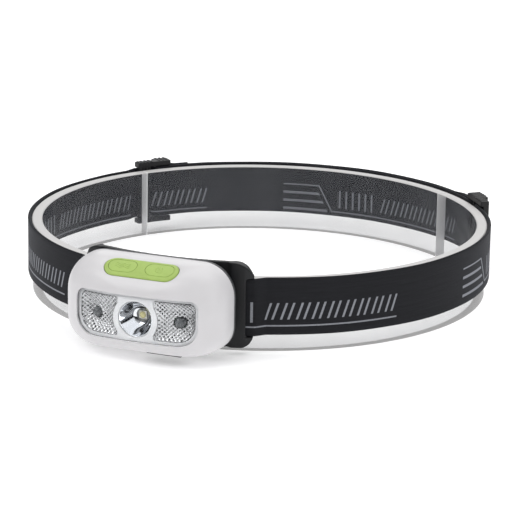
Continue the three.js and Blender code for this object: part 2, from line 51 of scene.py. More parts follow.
# ---------------------------------------------------------------- sizes, mm
# Everything is laid out about the ring's centre line, then moved SHIFT along Y into the row frame.
SHIFT = 14.064
STRAP_T, STRAP_Z0, STRAP_Z1, STRAP_R, STRAP_R2 = 1.5, 7.5, 32.5, 104.75, 106.65
SLIDER_L, SLIDER_R = 142.0, 38.0
FORMER_RI, FORMER_RO, FORMER_H = 98.9, 103.6, 31.6
SHELL_W, TOP_C, TOP_R, BOT_C, BOT_R = 36.0, 26.0, 15.9, 9.5, 5.0
SHELL_Y0, SHELL_DEPTH, SHELL_REAR, WALL = -117.0, 19.0, -115.2, 1.8
CORNER_TOP, CORNER_BOT = 14.0, 11.0
WIN_W, WIN_Z0, WIN_Z1 = 27.4, 9.9, 29.5
OPTIC_Z, MAIN_R, SIDE_X = 19.3, 7.2, 18.5
HINGE_Z = 7.5
PAD_Y, PAD_Z, PAD_TILT, PAD_L, PAD_B, KEY_X = -128.2, 39.4, 31.0, 33.0, 10.0, 8.3

rng = np.random.default_rng(7)


def rad(d):
    return math.radians(d)


def to_row(p):
    p = np.asarray(p, float)
    return (p + np.array([0, SHIFT, 0])) * MM


# ---------------------------------------------------------------- camera
def make_camera():
    az, el, d, f, cx, cy, roll = 22.0, 15.05, 1129.0, 2464.0, 259.2, 241.1, 1.01
    a, e, r = rad(az), rad(el), rad(roll)
    back = Vector((math.sin(a) * math.cos(e), -math.cos(a) * math.cos(e), math.sin(e)))
    right = Vector((math.cos(a), math.sin(a), 0))
    up = back.cross(right)
    right2 = right * math.cos(r) + up * math.sin(r)
    up2 = -right * math.sin(r) + up * math.cos(r)
    target = Vector((0, SHIFT * MM, 0.020))
    cam = bpy.data.cameras.new("camera")
    cam.sensor_width = 36
    cam.sensor_fit = "HORIZONTAL"
    cam.lens = f / 518 * 36
    cam.shift_x = -(cx - 259.0) / 518
    cam.shift_y = (cy - 259.0) / 518
    cam.clip_start = 0.01
    cam.clip_end = 50
    ob = bpy.data.objects.new("camera", cam)
    bpy.context.scene.collection.objects.link(ob)
    m = Matrix((right2, up2, back)).transposed().to_4x4()
    m.translation = target + back * (d * MM)
    ob.matrix_world = m
    bpy.context.scene.camera = ob
    return ob


make_camera()


# ---------------------------------------------------------------- materials
def new_mat(name):
    m = bpy.data.materials.new(name)
    m.use_nodes = True
    nt = m.node_tree
    return m, nt, nt.nodes["Principled BSDF"]


def coords(nt, scale=1000.0, kind="Object"):
    tc = nt.nodes.new("ShaderNodeTexCoord")
    mp = nt.nodes.new("ShaderNodeMapping")
    mp.inputs["Scale"].default_value = (scale, scale, scale)
    nt.links.new(tc.outputs[kind], mp.inputs["Vector"])
    return mp.outputs["Vector"]


def noise(nt, vec, scale, detail=3.0, rough=0.5):
    n = nt.nodes.new("ShaderNodeTexNoise")
    n.inputs["Scale"].default_value = scale
    n.inputs["Detail"].default_value = detail
    n.inputs["Roughness"].default_value = rough
    nt.links.new(vec, n.inputs["Vector"])
    return n.outputs["Fac"]


def ramp(nt, fac, lo, hi, a=0.0, b=1.0):
    r = nt.nodes.new("ShaderNodeMapRange")
    r.inputs["From Min"].default_value = a
    r.inputs["From Max"].default_value = b
    r.inputs["To Min"].default_value = lo
    r.inputs["To Max"].default_value = hi
    nt.links.new(fac, r.inputs["Value"])
    return r.outputs["Result"]


def mix_color(nt, fac, c1, c2):
    m = nt.nodes.new("ShaderNodeMix")
    m.data_type = "RGBA"
    if isinstance(fac, (int, float)):
        m.inputs[0].default_value = fac
    else:
        nt.links.new(fac, m.inputs[0])
    for socket, c in ((6, c1), (7, c2)):
        if hasattr(c, "links") or hasattr(c, "is_linked"):
            nt.links.new(c, m.inputs[socket])
        else:
            m.inputs[socket].default_value = (*c, 1)
    return m.outputs[2]


def math_node(nt, op, a, b=None, c=None):
    n = nt.nodes.new("ShaderNodeMath")
    n.operation = op
    for i, v in enumerate((a, b, c)):
        if v is None:
            continue
        if isinstance(v, (int, float)):
            n.inputs[i].default_value = v
        else:
            nt.links.new(v, n.inputs[i])
    return n.outputs[0]


def bump(nt, bsdf, height, strength, distance, prev=None):
    b = nt.nodes.new("ShaderNodeBump")
    b.inputs["Strength"].default_value = strength
    b.inputs["Distance"].default_value = distance
    nt.links.new(height, b.inputs["Height"])
    if prev is not None:
        nt.links.new(prev, b.inputs["Normal"])
    nt.links.new(b.outputs["Normal"], bsdf.inputs["Normal"])
    return b.outputs["Normal"]


def moulded(name, color, rough, metal=0.0, var=0.06, grain=6.0, bump_mm=0.01, rough_var=0.08, coat=0.0, spec=0.5):
    """Moulded or plated surface: mottled colour, uneven gloss and a fine grain."""
    m, nt, b = new_mat(name)
    v = coords(nt)
    big = noise(nt, v, 0.12, 3)
    fine = noise(nt, v, grain, 4, 0.6)
    c0 = tuple(max(0.0, x * (1 - var)) for x in color)
    c1 = tuple(min(1.0, x * (1 + var)) for x in color)
    nt.links.new(mix_color(nt, ramp(nt, big, 0, 1, 0.3, 0.7), c0, c1), b.inputs["Base Color"])
    nt.links.new(ramp(nt, fine, max(0.02, rough - rough_var), min(1, rough + rough_var), 0.3, 0.7), b.inputs["Roughness"])
    b.inputs["Metallic"].default_value = metal
    b.inputs["Specular IOR Level"].default_value = spec
    if coat:
        b.inputs["Coat Weight"].default_value = coat
        b.inputs["Coat Roughness"].default_value = 0.08
    if bump_mm:
        bump(nt, b, fine, 0.35, bump_mm * MM)
    return m


def dimpled_metal(name):
    """Metallised faceted reflector: bright lands, and painted shade in the diamond pits, which are darkened in the
    colour to stand in for their shade and dark reflections.
    """
    m, nt, b = new_mat(name)
    v = coords(nt)
    sep = nt.nodes.new("ShaderNodeSeparateXYZ")
    nt.links.new(v, sep.inputs[0])
    ax = math_node(nt, "ABSOLUTE", sep.outputs[0])
    p1 = math_node(nt, "ABSOLUTE", math_node(nt, "SINE", math_node(nt, "MULTIPLY", math_node(nt, "ADD", ax, sep.outputs[2]), math.pi / 1.75)))
    p2 = math_node(nt, "ABSOLUTE", math_node(nt, "SINE", math_node(nt, "MULTIPLY", math_node(nt, "SUBTRACT", ax, sep.outputs[2]), math.pi / 1.75)))
    pit = ramp(nt, math_node(nt, "MULTIPLY", p1, p2), 0.0, 1.0, 0.42, 0.80)
    patch = ramp(nt, noise(nt, v, 0.42, 3, 0.6), 0.15, 1.0, 0.36, 0.60)
    fac = math_node(nt, "MULTIPLY", pit, patch)
    tone = noise(nt, v, 1.6, 3)
    land = mix_color(nt, tone, (0.46, 0.455, 0.46), (0.80, 0.80, 0.81))
    # painted shade: the diamond pits are patchily darkened to near black in the colour, in place of the shade and dark
    # reflections the dimples would catch
    nt.links.new(mix_color(nt, fac, land, (0.015, 0.015, 0.017)), b.inputs["Base Color"])
    nt.links.new(ramp(nt, tone, 0.16, 0.34, 0.3, 0.7), b.inputs["Roughness"])
    b.inputs["Metallic"].default_value = 0.75
    return m


def webbing_material(name, dim=1.0, seen_through=False):
    """Woven elastic: warp ribs along the strap, weft picks across it, selvedges and a printed pattern.
    UV is in metres: u along the strip, v across it."""
    m, nt, b = new_mat(name)
    tc = nt.nodes.new("ShaderNodeTexCoord")
    sep = nt.nodes.new("ShaderNodeSeparateXYZ")
    nt.links.new(tc.outputs["UV"], sep.inputs[0])
    u = math_node(nt, "MULTIPLY", sep.outputs[0], 1000.0)
    v = math_node(nt, "MULTIPLY", sep.outputs[1], 1000.0)
    M = lambda op, a, b_=None, c_=None: math_node(nt, op, a, b_, c_)
    # warp ribs 0.62 mm apart across, weft picks 0.8 mm apart along, staggered from rib to rib
    rib = M("ABSOLUTE", M("SINE", M("MULTIPLY", v, math.pi / 0.62)))
    row = M("FLOOR", M("DIVIDE", v, 0.62))
    stag = M("MULTIPLY", M("MODULO", row, 2.0), 0.4)
    pick = M("ABSOLUTE", M("SINE", M("MULTIPLY", M("ADD", u, stag), math.pi / 0.8)))
    weave = M("MULTIPLY", rib, M("ADD", M("MULTIPLY", pick, 0.6), 0.4))
    combine = nt.nodes.new("ShaderNodeCombineXYZ")
    nt.links.new(u, combine.inputs[0])
    nt.links.new(v, combine.inputs[1])
    fuzz = noise(nt, combine.outputs[0], 2.2, 5, 0.7)
    streak_vec = nt.nodes.new("ShaderNodeVectorMath")
    streak_vec.operation = "MULTIPLY"
    streak_vec.inputs[1].default_value = (0.06, 1.4, 1)
    nt.links.new(combine.outputs[0], streak_vec.inputs[0])
    streak = noise(nt, streak_vec.outputs[0], 1.0, 3)
    # ---- printed pattern, repeated every 142.3 mm
    period = 142.3
    w = M("MULTIPLY", M("FRACT", M("DIVIDE", u, period)), period)

    def band(x, lo, hi, soft=0.12):
        """1 inside lo..hi, soft edges, in mm"""
        up_ = nt.nodes.new("ShaderNodeMapRange")
        up_.interpolation_type = "SMOOTHSTEP"
        up_.inputs["From Min"].default_value = lo - soft
        up_.inputs["From Max"].default_value = lo + soft
        nt.links.new(x, up_.inputs["Value"])
        dn = nt.nodes.new("ShaderNodeMapRange")
        dn.interpolation_type = "SMOOTHSTEP"
        dn.inputs["From Min"].default_value = hi - soft
        dn.inputs["From Max"].default_value = hi + soft
        nt.links.new(x, dn.inputs["Value"])
        return M("MULTIPLY", up_.outputs[0], M("SUBTRACT", 1.0, dn.outputs[0]))

    def group(x, first, pitch, width, lo, hi, count_lo, count_hi):
        cell_ = M("MODULO", M("ADD", M("SUBTRACT", x, first), 100 * pitch), pitch)
        return M("MULTIPLY", band(cell_, 0.3, 0.3 + width, 0.1), M("MULTIPLY", band(x, count_lo, count_hi, 0.05), band(v, lo, hi)))

    # four stacked bars, the top one thin, and a thin line that slants down from it and runs on below the strokes
    bar_end = M("SUBTRACT", 24.6, M("MULTIPLY", v, 0.5))
    inside = M("MULTIPLY", band(w, 0.0, 40.0), M("LESS_THAN", w, bar_end))
    rungs = M("MAXIMUM", band(v, 3.6, 4.8), M("MAXIMUM", band(v, 7.7, 8.9), band(v, 11.8, 13.0)))
    bars = M("MULTIPLY", rungs, inside)
    top_line = M("MULTIPLY", band(v, 16.2, 16.85), band(w, 0.0, 18.0))
    lean = M("ADD", w, M("MULTIPLY", M("SUBTRACT", v, 4.2), 0.55))
    slope = M("MULTIPLY", band(lean, 24.5, 25.3), band(v, 4.0, 16.85))
    line = M("MULTIPLY", band(w, 24.6, 103.6), band(v, 3.85, 4.5))
    # upright strokes, then pairs of slanted ones
    upright = group(w, 27.6, 3.5, 0.95, 6.2, 15.0, 27.6, 46.6)
    slant = M("ADD", w, M("MULTIPLY", M("SUBTRACT", v, 6.9), -0.30))
    one = group(slant, 50.6, 5.9, 0.85, 6.9, 14.1, 50.6, 102.6)
    two = group(slant, 53.3, 5.9, 0.85, 6.9, 14.1, 50.6, 102.6)
    ink = M("MAXIMUM", M("MAXIMUM", bars, top_line), M("MAXIMUM", M("MAXIMUM", slope, line), M("MAXIMUM", upright, M("MAXIMUM", one, two))))
    side = nt.nodes.new("ShaderNodeAttribute")
    side.attribute_name = "print_side"
    ink = M("MULTIPLY", ink, side.outputs["Fac"])
    ink = M("MULTIPLY", ink, ramp(nt, fuzz, 0.55, 1.0, 0.3, 0.62))
    base = mix_color(nt, ramp(nt, streak, 0, 1, 0.3, 0.7), (0.0085 * dim, 0.009 * dim, 0.0115 * dim), (0.015 * dim, 0.0155 * dim, 0.019 * dim))
    # painted shade: the grooves between the warp ribs and weft picks are darkened in the colour, where shade falls
    # between the yarns
    base = mix_color(nt, M("MULTIPLY", M("SUBTRACT", 1.0, weave), 0.55), base, (0.003, 0.003, 0.004))
    col = mix_color(nt, ink, base, (0.30, 0.31, 0.34))
    nt.links.new(col, b.inputs["Base Color"])
    nt.links.new(ramp(nt, fuzz, 0.62, 0.86, 0.3, 0.7), b.inputs["Roughness"])
    b.inputs["Specular IOR Level"].default_value = 0.2
    b.inputs["Sheen Weight"].default_value = 0.06
    b.inputs["Sheen Roughness"].default_value = 0.45
    b.inputs["Sheen Tint"].default_value = (0.75, 0.78, 0.9, 1)
    h = M("ADD", M("MULTIPLY", weave, 0.75), M("ADD", M("MULTIPLY", fuzz, 0.35), M("MULTIPLY", ink, 0.25)))
    bump(nt, b, h, 0.5, 0.06 * MM)
    return m




def clear_material(name, tint=(0.97, 0.98, 0.985), rough=0.03, ior=1.49):
    m, nt, b = new_mat(name)
    v = coords(nt)
    fine = noise(nt, v, 0.5, 4, 0.6)
    b.inputs["Transmission Weight"].default_value = 1.0
    b.inputs["IOR"].default_value = ior
    c0 = tuple(x * 0.985 for x in tint)
    nt.links.new(mix_color(nt, fine, c0, tint), b.inputs["Base Color"])
    nt.links.new(ramp(nt, fine, rough * 0.5, rough * 1.6, 0.35, 0.65), b.inputs["Roughness"])
    return m


def hazy_clear(name):
    """Clear moulding seen edge on: lets most of the light straight through and adds a grey haze."""
    m, nt, b = new_mat(name)
    v = coords(nt)
    fine = noise(nt, v, 0.05, 3, 0.5)
    nt.links.new(mix_color(nt, ramp(nt, fine, 0, 1, 0.3, 0.7), (0.075, 0.079, 0.09), (0.105, 0.109, 0.122)), b.inputs["Base Color"])
    nt.links.new(ramp(nt, fine, 0.05, 0.09, 0.3, 0.7), b.inputs["Roughness"])
    nt.links.new(ramp(nt, fine, 0.19, 0.22, 0.3, 0.7), b.inputs["Alpha"])
    b.inputs["Specular IOR Level"].default_value = 0.5
    b.inputs["IOR"].default_value = 1.49
    return m


def frosted_material(name):
    """Sawn acrylic edge: whitish and slightly rough."""
    m, nt, b = new_mat(name)
    v = coords(nt)
    fine = noise(nt, v, 3.0, 4, 0.6)
    nt.links.new(mix_color(nt, fine, (0.52, 0.51, 0.505), (0.62, 0.612, 0.605)), b.inputs["Base Color"])
    nt.links.new(ramp(nt, fine, 0.35, 0.6, 0.3, 0.7), b.inputs["Roughness"])
    bump(nt, b, fine, 0.3, 0.04 * MM)
    return m


M_SHELL = moulded("white_abs", (0.66, 0.648, 0.66), 0.33, var=0.015, grain=9, bump_mm=0.006, rough_var=0.06, spec=0.5)
M_CARRIER = moulded("white_carrier", (0.74, 0.735, 0.745), 0.3, var=0.015, grain=8, bump_mm=0.005)
M_BLACK = moulded("black_moulding", (0.013, 0.0135, 0.015), 0.42, var=0.12, grain=8, bump_mm=0.02, rough_var=0.12, spec=0.25)
M_SLIDER = moulded("slider_moulding", (0.011, 0.011, 0.012), 0.38, var=0.12, grain=7, bump_mm=0.02, rough_var=0.1, spec=0.3)
M_GASKET = moulded("gasket_rubber", (0.075, 0.077, 0.082), 0.6, var=0.08, grain=10, bump_mm=0.02)
M_RUBBER = moulded("cover_rubber", (0.012, 0.012, 0.013), 0.65, var=0.1, grain=10, bump_mm=0.03)
M_PAD = moulded("lime_silicone", (0.37, 0.51, 0.127), 0.5, var=0.05, grain=7, bump_mm=0.02, rough_var=0.08, spec=0.4)
M_KEY = moulded("lime_silicone_keys", (0.38, 0.525, 0.134), 0.5, var=0.05, grain=7, bump_mm=0.02, rough_var=0.08, spec=0.4)
M_CHROME = moulded("metallised", (0.80, 0.81, 0.83), 0.07, metal=1.0, var=0.04, grain=2.0, bump_mm=0.0, rough_var=0.03)
M_CHROME_DULL = dimpled_metal("metallised_dimples_painted_shade")
M_STEEL = moulded("plated_steel", (0.52, 0.53, 0.55), 0.28, metal=1.0, var=0.08, grain=5, bump_mm=0.01)
M_PCB = moulded("solder_mask", (0.015, 0.13, 0.05), 0.35, var=0.2, grain=4, bump_mm=0.02)
M_STAR = moulded("star_mask", (0.72, 0.72, 0.7), 0.35, var=0.04, grain=4, bump_mm=0.01)
M_CERAMIC = moulded("led_ceramic", (0.75, 0.74, 0.68), 0.4, var=0.05, grain=4, bump_mm=0.01)
M_DOME = moulded("led_tint", (0.10, 0.105, 0.11), 0.08, var=0.15, grain=2, bump_mm=0.0, rough_var=0.03, coat=0.6)
M_FOIL = moulded("cell_foil", (0.42, 0.44, 0.46), 0.3, metal=0.9, var=0.06, grain=3, bump_mm=0.05)
M_RED = moulded("red_insulation", (0.42, 0.02, 0.02), 0.45, var=0.1)
M_WIRE = moulded("black_insulation", (0.012, 0.012, 0.013), 0.45, var=0.1)
M_CLEAR = clear_material("lens_polycarbonate", ior=1.08, rough=0.01)
M_FORMER = hazy_clear("former_acrylic")
M_EDGE = frosted_material("former_sawn_edge")
M_JOINT = moulded("former_joint_face", (0.93, 0.93, 0.935), 0.3, var=0.03, grain=5, bump_mm=0.01)


def phosphor_material():
    m, nt, b = new_mat("phosphor")
    v = coords(nt)
    fine = noise(nt, v, 4.0, 3)
    nt.links.new(mix_color(nt, fine, (0.62, 0.56, 0.22), (0.80, 0.74, 0.40)), b.inputs["Base Color"])
    nt.links.new(ramp(nt, fine, 0.2, 0.4), b.inputs["Roughness"])
    b.inputs["Coat Weight"].default_value = 0.8
    return m


M_PHOSPHOR = phosphor_material()


# ---------------------------------------------------------------- mesh helpers
def mesh_object(name, verts, faces, mats, smooth=True, angle=35):
    me = bpy.data.meshes.new(name)
    me.from_pydata([tuple(v) for v in verts], [], [tuple(int(i) for i in f) for f in faces])
    me.validate(verbose=False)
    ob = bpy.data.objects.new(name, me)
    bpy.context.scene.collection.objects.link(ob)
    for m in mats if isinstance(mats, (list, tuple)) else [mats]:
        me.materials.append(m)
    if smooth:
        shade(ob, angle)
    return ob


def shade(ob, angle=35):
    """Smooth faces with sharp edges above the angle."""
    me = ob.data
    me.polygons.foreach_set("use_smooth", [True] * len(me.polygons))
    bm = bmesh.new()
    bm.from_mesh(me)
    lim = rad(angle)
    for e in bm.edges:
        e.smooth = not (len(e.link_faces) == 2 and e.calc_face_angle(0) > lim)
    bm.to_mesh(me)
    bm.free()


def fix_normals(ob):
    bm = bmesh.new()
    bm.from_mesh(ob.data)
    bmesh.ops.recalc_face_normals(bm, faces=bm.faces)
    bm.to_mesh(ob.data)
    bm.free()


def apply_modifiers(ob):
    bpy.context.view_layer.update()
    dg = bpy.context.evaluated_depsgraph_get()
    me = bpy.data.meshes.new_from_object(ob.evaluated_get(dg))
    old = ob.data
    ob.modifiers.clear()
    ob.data = me
    bpy.data.meshes.remove(old)
    return ob


def loft_mesh(rings):
    """rings: (k, n, 3) array. Closed skin with a fan at each end."""
    rings = np.asarray(rings, float)
    k, n, _ = rings.shape
    verts = list(rings.reshape(-1, 3))
    faces = []
    for a in range(k - 1):
        for i in range(n):
            j = (i + 1) % n
            faces.append((a * n + i, a * n + j, (a + 1) * n + j, (a + 1) * n + i))
    c0 = len(verts)
    verts.append(rings[0].mean(0))
    verts.append(rings[-1].mean(0))
    for i in range(n):
        j = (i + 1) % n
        faces.append((c0, j, i))
        faces.append((c0 + 1, (k - 1) * n + i, (k - 1) * n + j))
    return verts, faces


def rounded_rect(w, z0, z1, r_top, r_bot, n=12, side=0):
    h = (z1 - z0) / 2
    rt = min(r_top, w * 0.98, h * 0.98)
    rb = min(r_bot, w * 0.98, h * 0.98)
    out = []

    def arc(cx, cz, r, a0):
        for i in range(n + 1):
            a = rad(a0 + 90 * i / n)
            out.append((cx + r * math.cos(a), cz + r * math.sin(a)))

    def straight(p, q):
        for i in range(1, side + 1):
            t = i / (side + 1)
            out.append((p[0] + (q[0] - p[0]) * t, p[1] + (q[1] - p[1]) * t))

    arc(w - rb, z0 + rb, rb, 270)
    straight((w, z0 + rb), (w, z1 - rt))
    arc(w - rt, z1 - rt, rt, 0)
    straight((w - rt, z1), (-w + rt, z1))
    arc(-w + rt, z1 - rt, rt, 90)
    straight((-w, z1 - rt), (-w, z0 + rb))
    arc(-w + rb, z0 + rb, rb, 180)
    straight((-w + rb, z0), (w - rb, z0))
    return out


def stadium(l, b, n=16, cx=0.0, cy=0.0):
    r = b / 2
    out = []
    for i in range(n + 1):
        a = rad(-90 + 180 * i / n)
        out.append((cx + l / 2 - r + r * math.cos(a), cy + r * math.sin(a)))
    for i in range(n + 1):
        a = rad(90 + 180 * i / n)
        out.append((cx - l / 2 + r + r * math.cos(a), cy + r * math.sin(a)))
    return out


def housing_rings(grow, rear, n=14, side=4, sections=40, front=0.999):
    w0, depth = SHELL_W + grow, SHELL_DEPTH + grow
    out = []

    def ring(y, s):
        w = w0 * max(0.0, 1 - s ** 3) ** (1 / 3)
        zt = TOP_C + (TOP_R + grow) * max(0.0, 1 - s ** 2.2) ** (1 / 2.2)
        zb = BOT_C - (BOT_R + grow) * max(0.0, 1 - s ** 3.4) ** (1 / 3.4)
        h = (zt - zb) / 2
        rt = min(CORNER_TOP + grow, w * 0.9, h * 0.95)
        rb = min(CORNER_BOT + grow, w * 0.9, h * 0.95)
        return [(x, y, z) for x, z in rounded_rect(w, zb, zt, rt, rb, n, side)]

    out.append(ring(rear, 0))
    for i in range(sections + 1):
        s = front * math.sin(math.pi / 2 * i / sections) ** 0.9
        out.append(ring(SHELL_Y0 - depth * s, s))
    return np.array(out)


def solid_object(name, verts, faces, mat=None):
    ob = mesh_object(name, [to_row(v) for v in verts], faces, mat or M_SHELL, smooth=False)
    fix_normals(ob)
    return ob


def housing_object(name, grow, rear, **kw):
    v, f = loft_mesh(housing_rings(grow, rear, **kw))
    return solid_object(name, v, f)


def prism_y(name, outline, y0, y1, mat=None):
    a = [(x, y0, z) for x, z in outline]
    b = [(x, y1, z) for x, z in outline]
    v, f = loft_mesh(np.array([a, b]))
    return solid_object(name, v, f, mat)


def prism_z(name, outline, z0, z1, mat=None):
    a = [(x, y, z0) for x, y in outline]
    b = [(x, y, z1) for x, y in outline]
    v, f = loft_mesh(np.array([a, b]))
    return solid_object(name, v, f, mat)


PAD_M = Matrix.Translation((0, PAD_Y, PAD_Z)) @ Matrix.Rotation(rad(PAD_TILT), 4, "X")


def pad_point(u, v, n):
    return np.array(PAD_M @ Vector((u, v, n)))


def prism_pad(name, outline, n0, n1):
    a = [pad_point(x, y, n0) for x, y in outline]
    b = [pad_point(x, y, n1) for x, y in outline]
    v, f = loft_mesh(np.array([a, b]))
    return solid_object(name, v, f)


def cylinder_y(name, r, y0, y1, x, z, n=32):
    return prism_y(name, [(x + r * math.cos(2 * math.pi * i / n), z + r * math.sin(2 * math.pi * i / n)) for i in range(n)], y0, y1)


def boolean(ob, other, op="DIFFERENCE", keep=False):
    md = ob.modifiers.new("cut", "BOOLEAN")
    md.operation = op
    md.solver = "EXACT"
    md.object = other
    apply_modifiers(ob)
    if not keep:
        me = other.data
        bpy.data.objects.remove(other)
        bpy.data.meshes.remove(me)
    return ob


def drop(ob):
    me = ob.data
    bpy.data.objects.remove(ob)
    bpy.data.meshes.remove(me)


def soften(ob, width_mm, segments=2, angle=40):
    md = ob.modifiers.new("edge", "BEVEL")
    md.width = width_mm * MM
    md.segments = segments
    md.limit_method = "ANGLE"
    md.angle_limit = rad(angle)
    md.use_clamp_overlap = True
    md.harden_normals = False
    apply_modifiers(ob)


def set_mat(ob, *mats):
    ob.data.materials.clear()
    for m in mats:
        ob.data.materials.append(m)


# ---------------------------------------------------------------- ring helpers
def ring_point(deg, arc, r):
    a = rad(deg) + arc / STRAP_R
    return np.array([r * math.cos(a), r * math.sin(a)])


def filleted(points, radius, step=0.45):
    out = [points[0]]
    for i in range(1, len(points) - 1):
        p = points[i]
        a, b = points[i - 1] - p, points[i + 1] - p
        la, lb = np.linalg.norm(a), np.linalg.norm(b)
        a, b = a / la, b / lb
        turn = math.pi - math.acos(max(-1, min(1, float(a @ b))))
        t = min(radius * math.tan(turn / 2), la * 0.49, lb * 0.49)
        if turn < 0.004:
            out.append(p)
            continue
        m = max(3, math.ceil(turn / 0.12))
        s, e = p + a * t, p + b * t
        for k in range(m + 1):
            q = k / m
            out.append(s * (1 - q) ** 2 + p * 2 * q * (1 - q) + e * q * q)
    out.append(points[-1])
    return out


def resample(points, step):
    pts = np.array(points)
    d = np.r_[0, np.cumsum(np.linalg.norm(np.diff(pts, axis=0), axis=1))]
    keep = np.r_[True, np.diff(d) > 1e-9]
    pts, d = pts[keep], d[keep]
    n = int(math.ceil(d[-1] / step))
    t = np.linspace(0, d[-1], n + 1)
    return np.stack([np.interp(t, d, pts[:, k]) for k in range(2)], 1), t


def strap_route():
    p = []
    at = lambda deg, arc, r: p.append(ring_point(deg, arc, r))

    def sweep(d0, d1, r, step=1.5):
        n = math.ceil((d1 - d0) / step)
        for i in range(n + 1):
            at(d0 + (d1 - d0) * i / n, 0, r)

    at(SLIDER_R, 19, 106.65)
    at(SLIDER_R, 12.5, 106.75)
    at(SLIDER_R, 8.8, 108.85)
    at(SLIDER_R, 4.95, 108.85)
    at(SLIDER_R, 4.95, STRAP_R)
    at(SLIDER_R, 8, STRAP_R)
    sweep(SLIDER_R + 7, SLIDER_L - 8, STRAP_R)
    at(SLIDER_L, -1.6, STRAP_R)
    at(SLIDER_L, 1.6, 107.25)
    at(SLIDER_L, 5, 107.25)
    at(SLIDER_L, 9.6, 107.25)
    at(SLIDER_L, 15.5, STRAP_R)
    sweep(SLIDER_L + 12, 270 - 27, STRAP_R)
    at(270, -43.5, STRAP_R)
    at(270, -39, 107.05)
    at(270, -34.7, 107.05)
    at(270, -31, STRAP_R)
    sweep(270 - 14, 270 + 14, STRAP_R)
    at(270, 31, STRAP_R)
    at(270, 34.7, 107.05)
    at(270, 39, 107.05)
    at(270, 43.5, STRAP_R)
    sweep(270 + 27, 360 + SLIDER_R - 9, STRAP_R)
    at(360 + SLIDER_R, -0.9, STRAP_R)
    at(360 + SLIDER_R, 1.2, 108.65)
    at(360 + SLIDER_R, 4.2, 110.65)
    at(360 + SLIDER_R, 9.4, 110.65)
    at(360 + SLIDER_R, 13.4, 108.6)
    at(360 + SLIDER_R, 19.5, 108.6)
    at(360 + SLIDER_R, 24.5, STRAP_R2)
    sweep(360 + SLIDER_R + 17, 360 + SLIDER_L - 14, STRAP_R2)
    at(360 + SLIDER_L, -8, STRAP_R2)
    at(360 + SLIDER_L, -4.95, STRAP_R2)
    at(360 + SLIDER_L, -4.95, 110.75)
    at(360 + SLIDER_L, -8.6, 110.75)
    at(360 + SLIDER_L, -12.6, 108.55)
    at(360 + SLIDER_L, -19, 108.5)
    return resample(filleted(p, 1.5), 0.7)


# ---------------------------------------------------------------- webbing
M_WEB = webbing_material("woven_elastic")


PRINT_REFS = {
    # name: outer face (degrees, place in the pattern, stretch), inner face
    "webbing_inner_right": ((60, 0, 1.0), (90.0, 27.95, 1.0)),
    "webbing_inner_left": ((110, 30, 1.0), (105.4, 0.0, 1.0)),
    "webbing_front_left": ((238.9, 103.6, 1.09), (177.8, 51.2, 1.0)),
    "webbing_front_right": ((293.6, 51.2, 1.13), (10.0, 20.0, 1.0)),
    "webbing_outer_right": ((60, 10, 1.0), (60, 0, 1.0)),
    "webbing_outer_left": ((120, 60, 1.0), (120, 0, 1.0)),
}


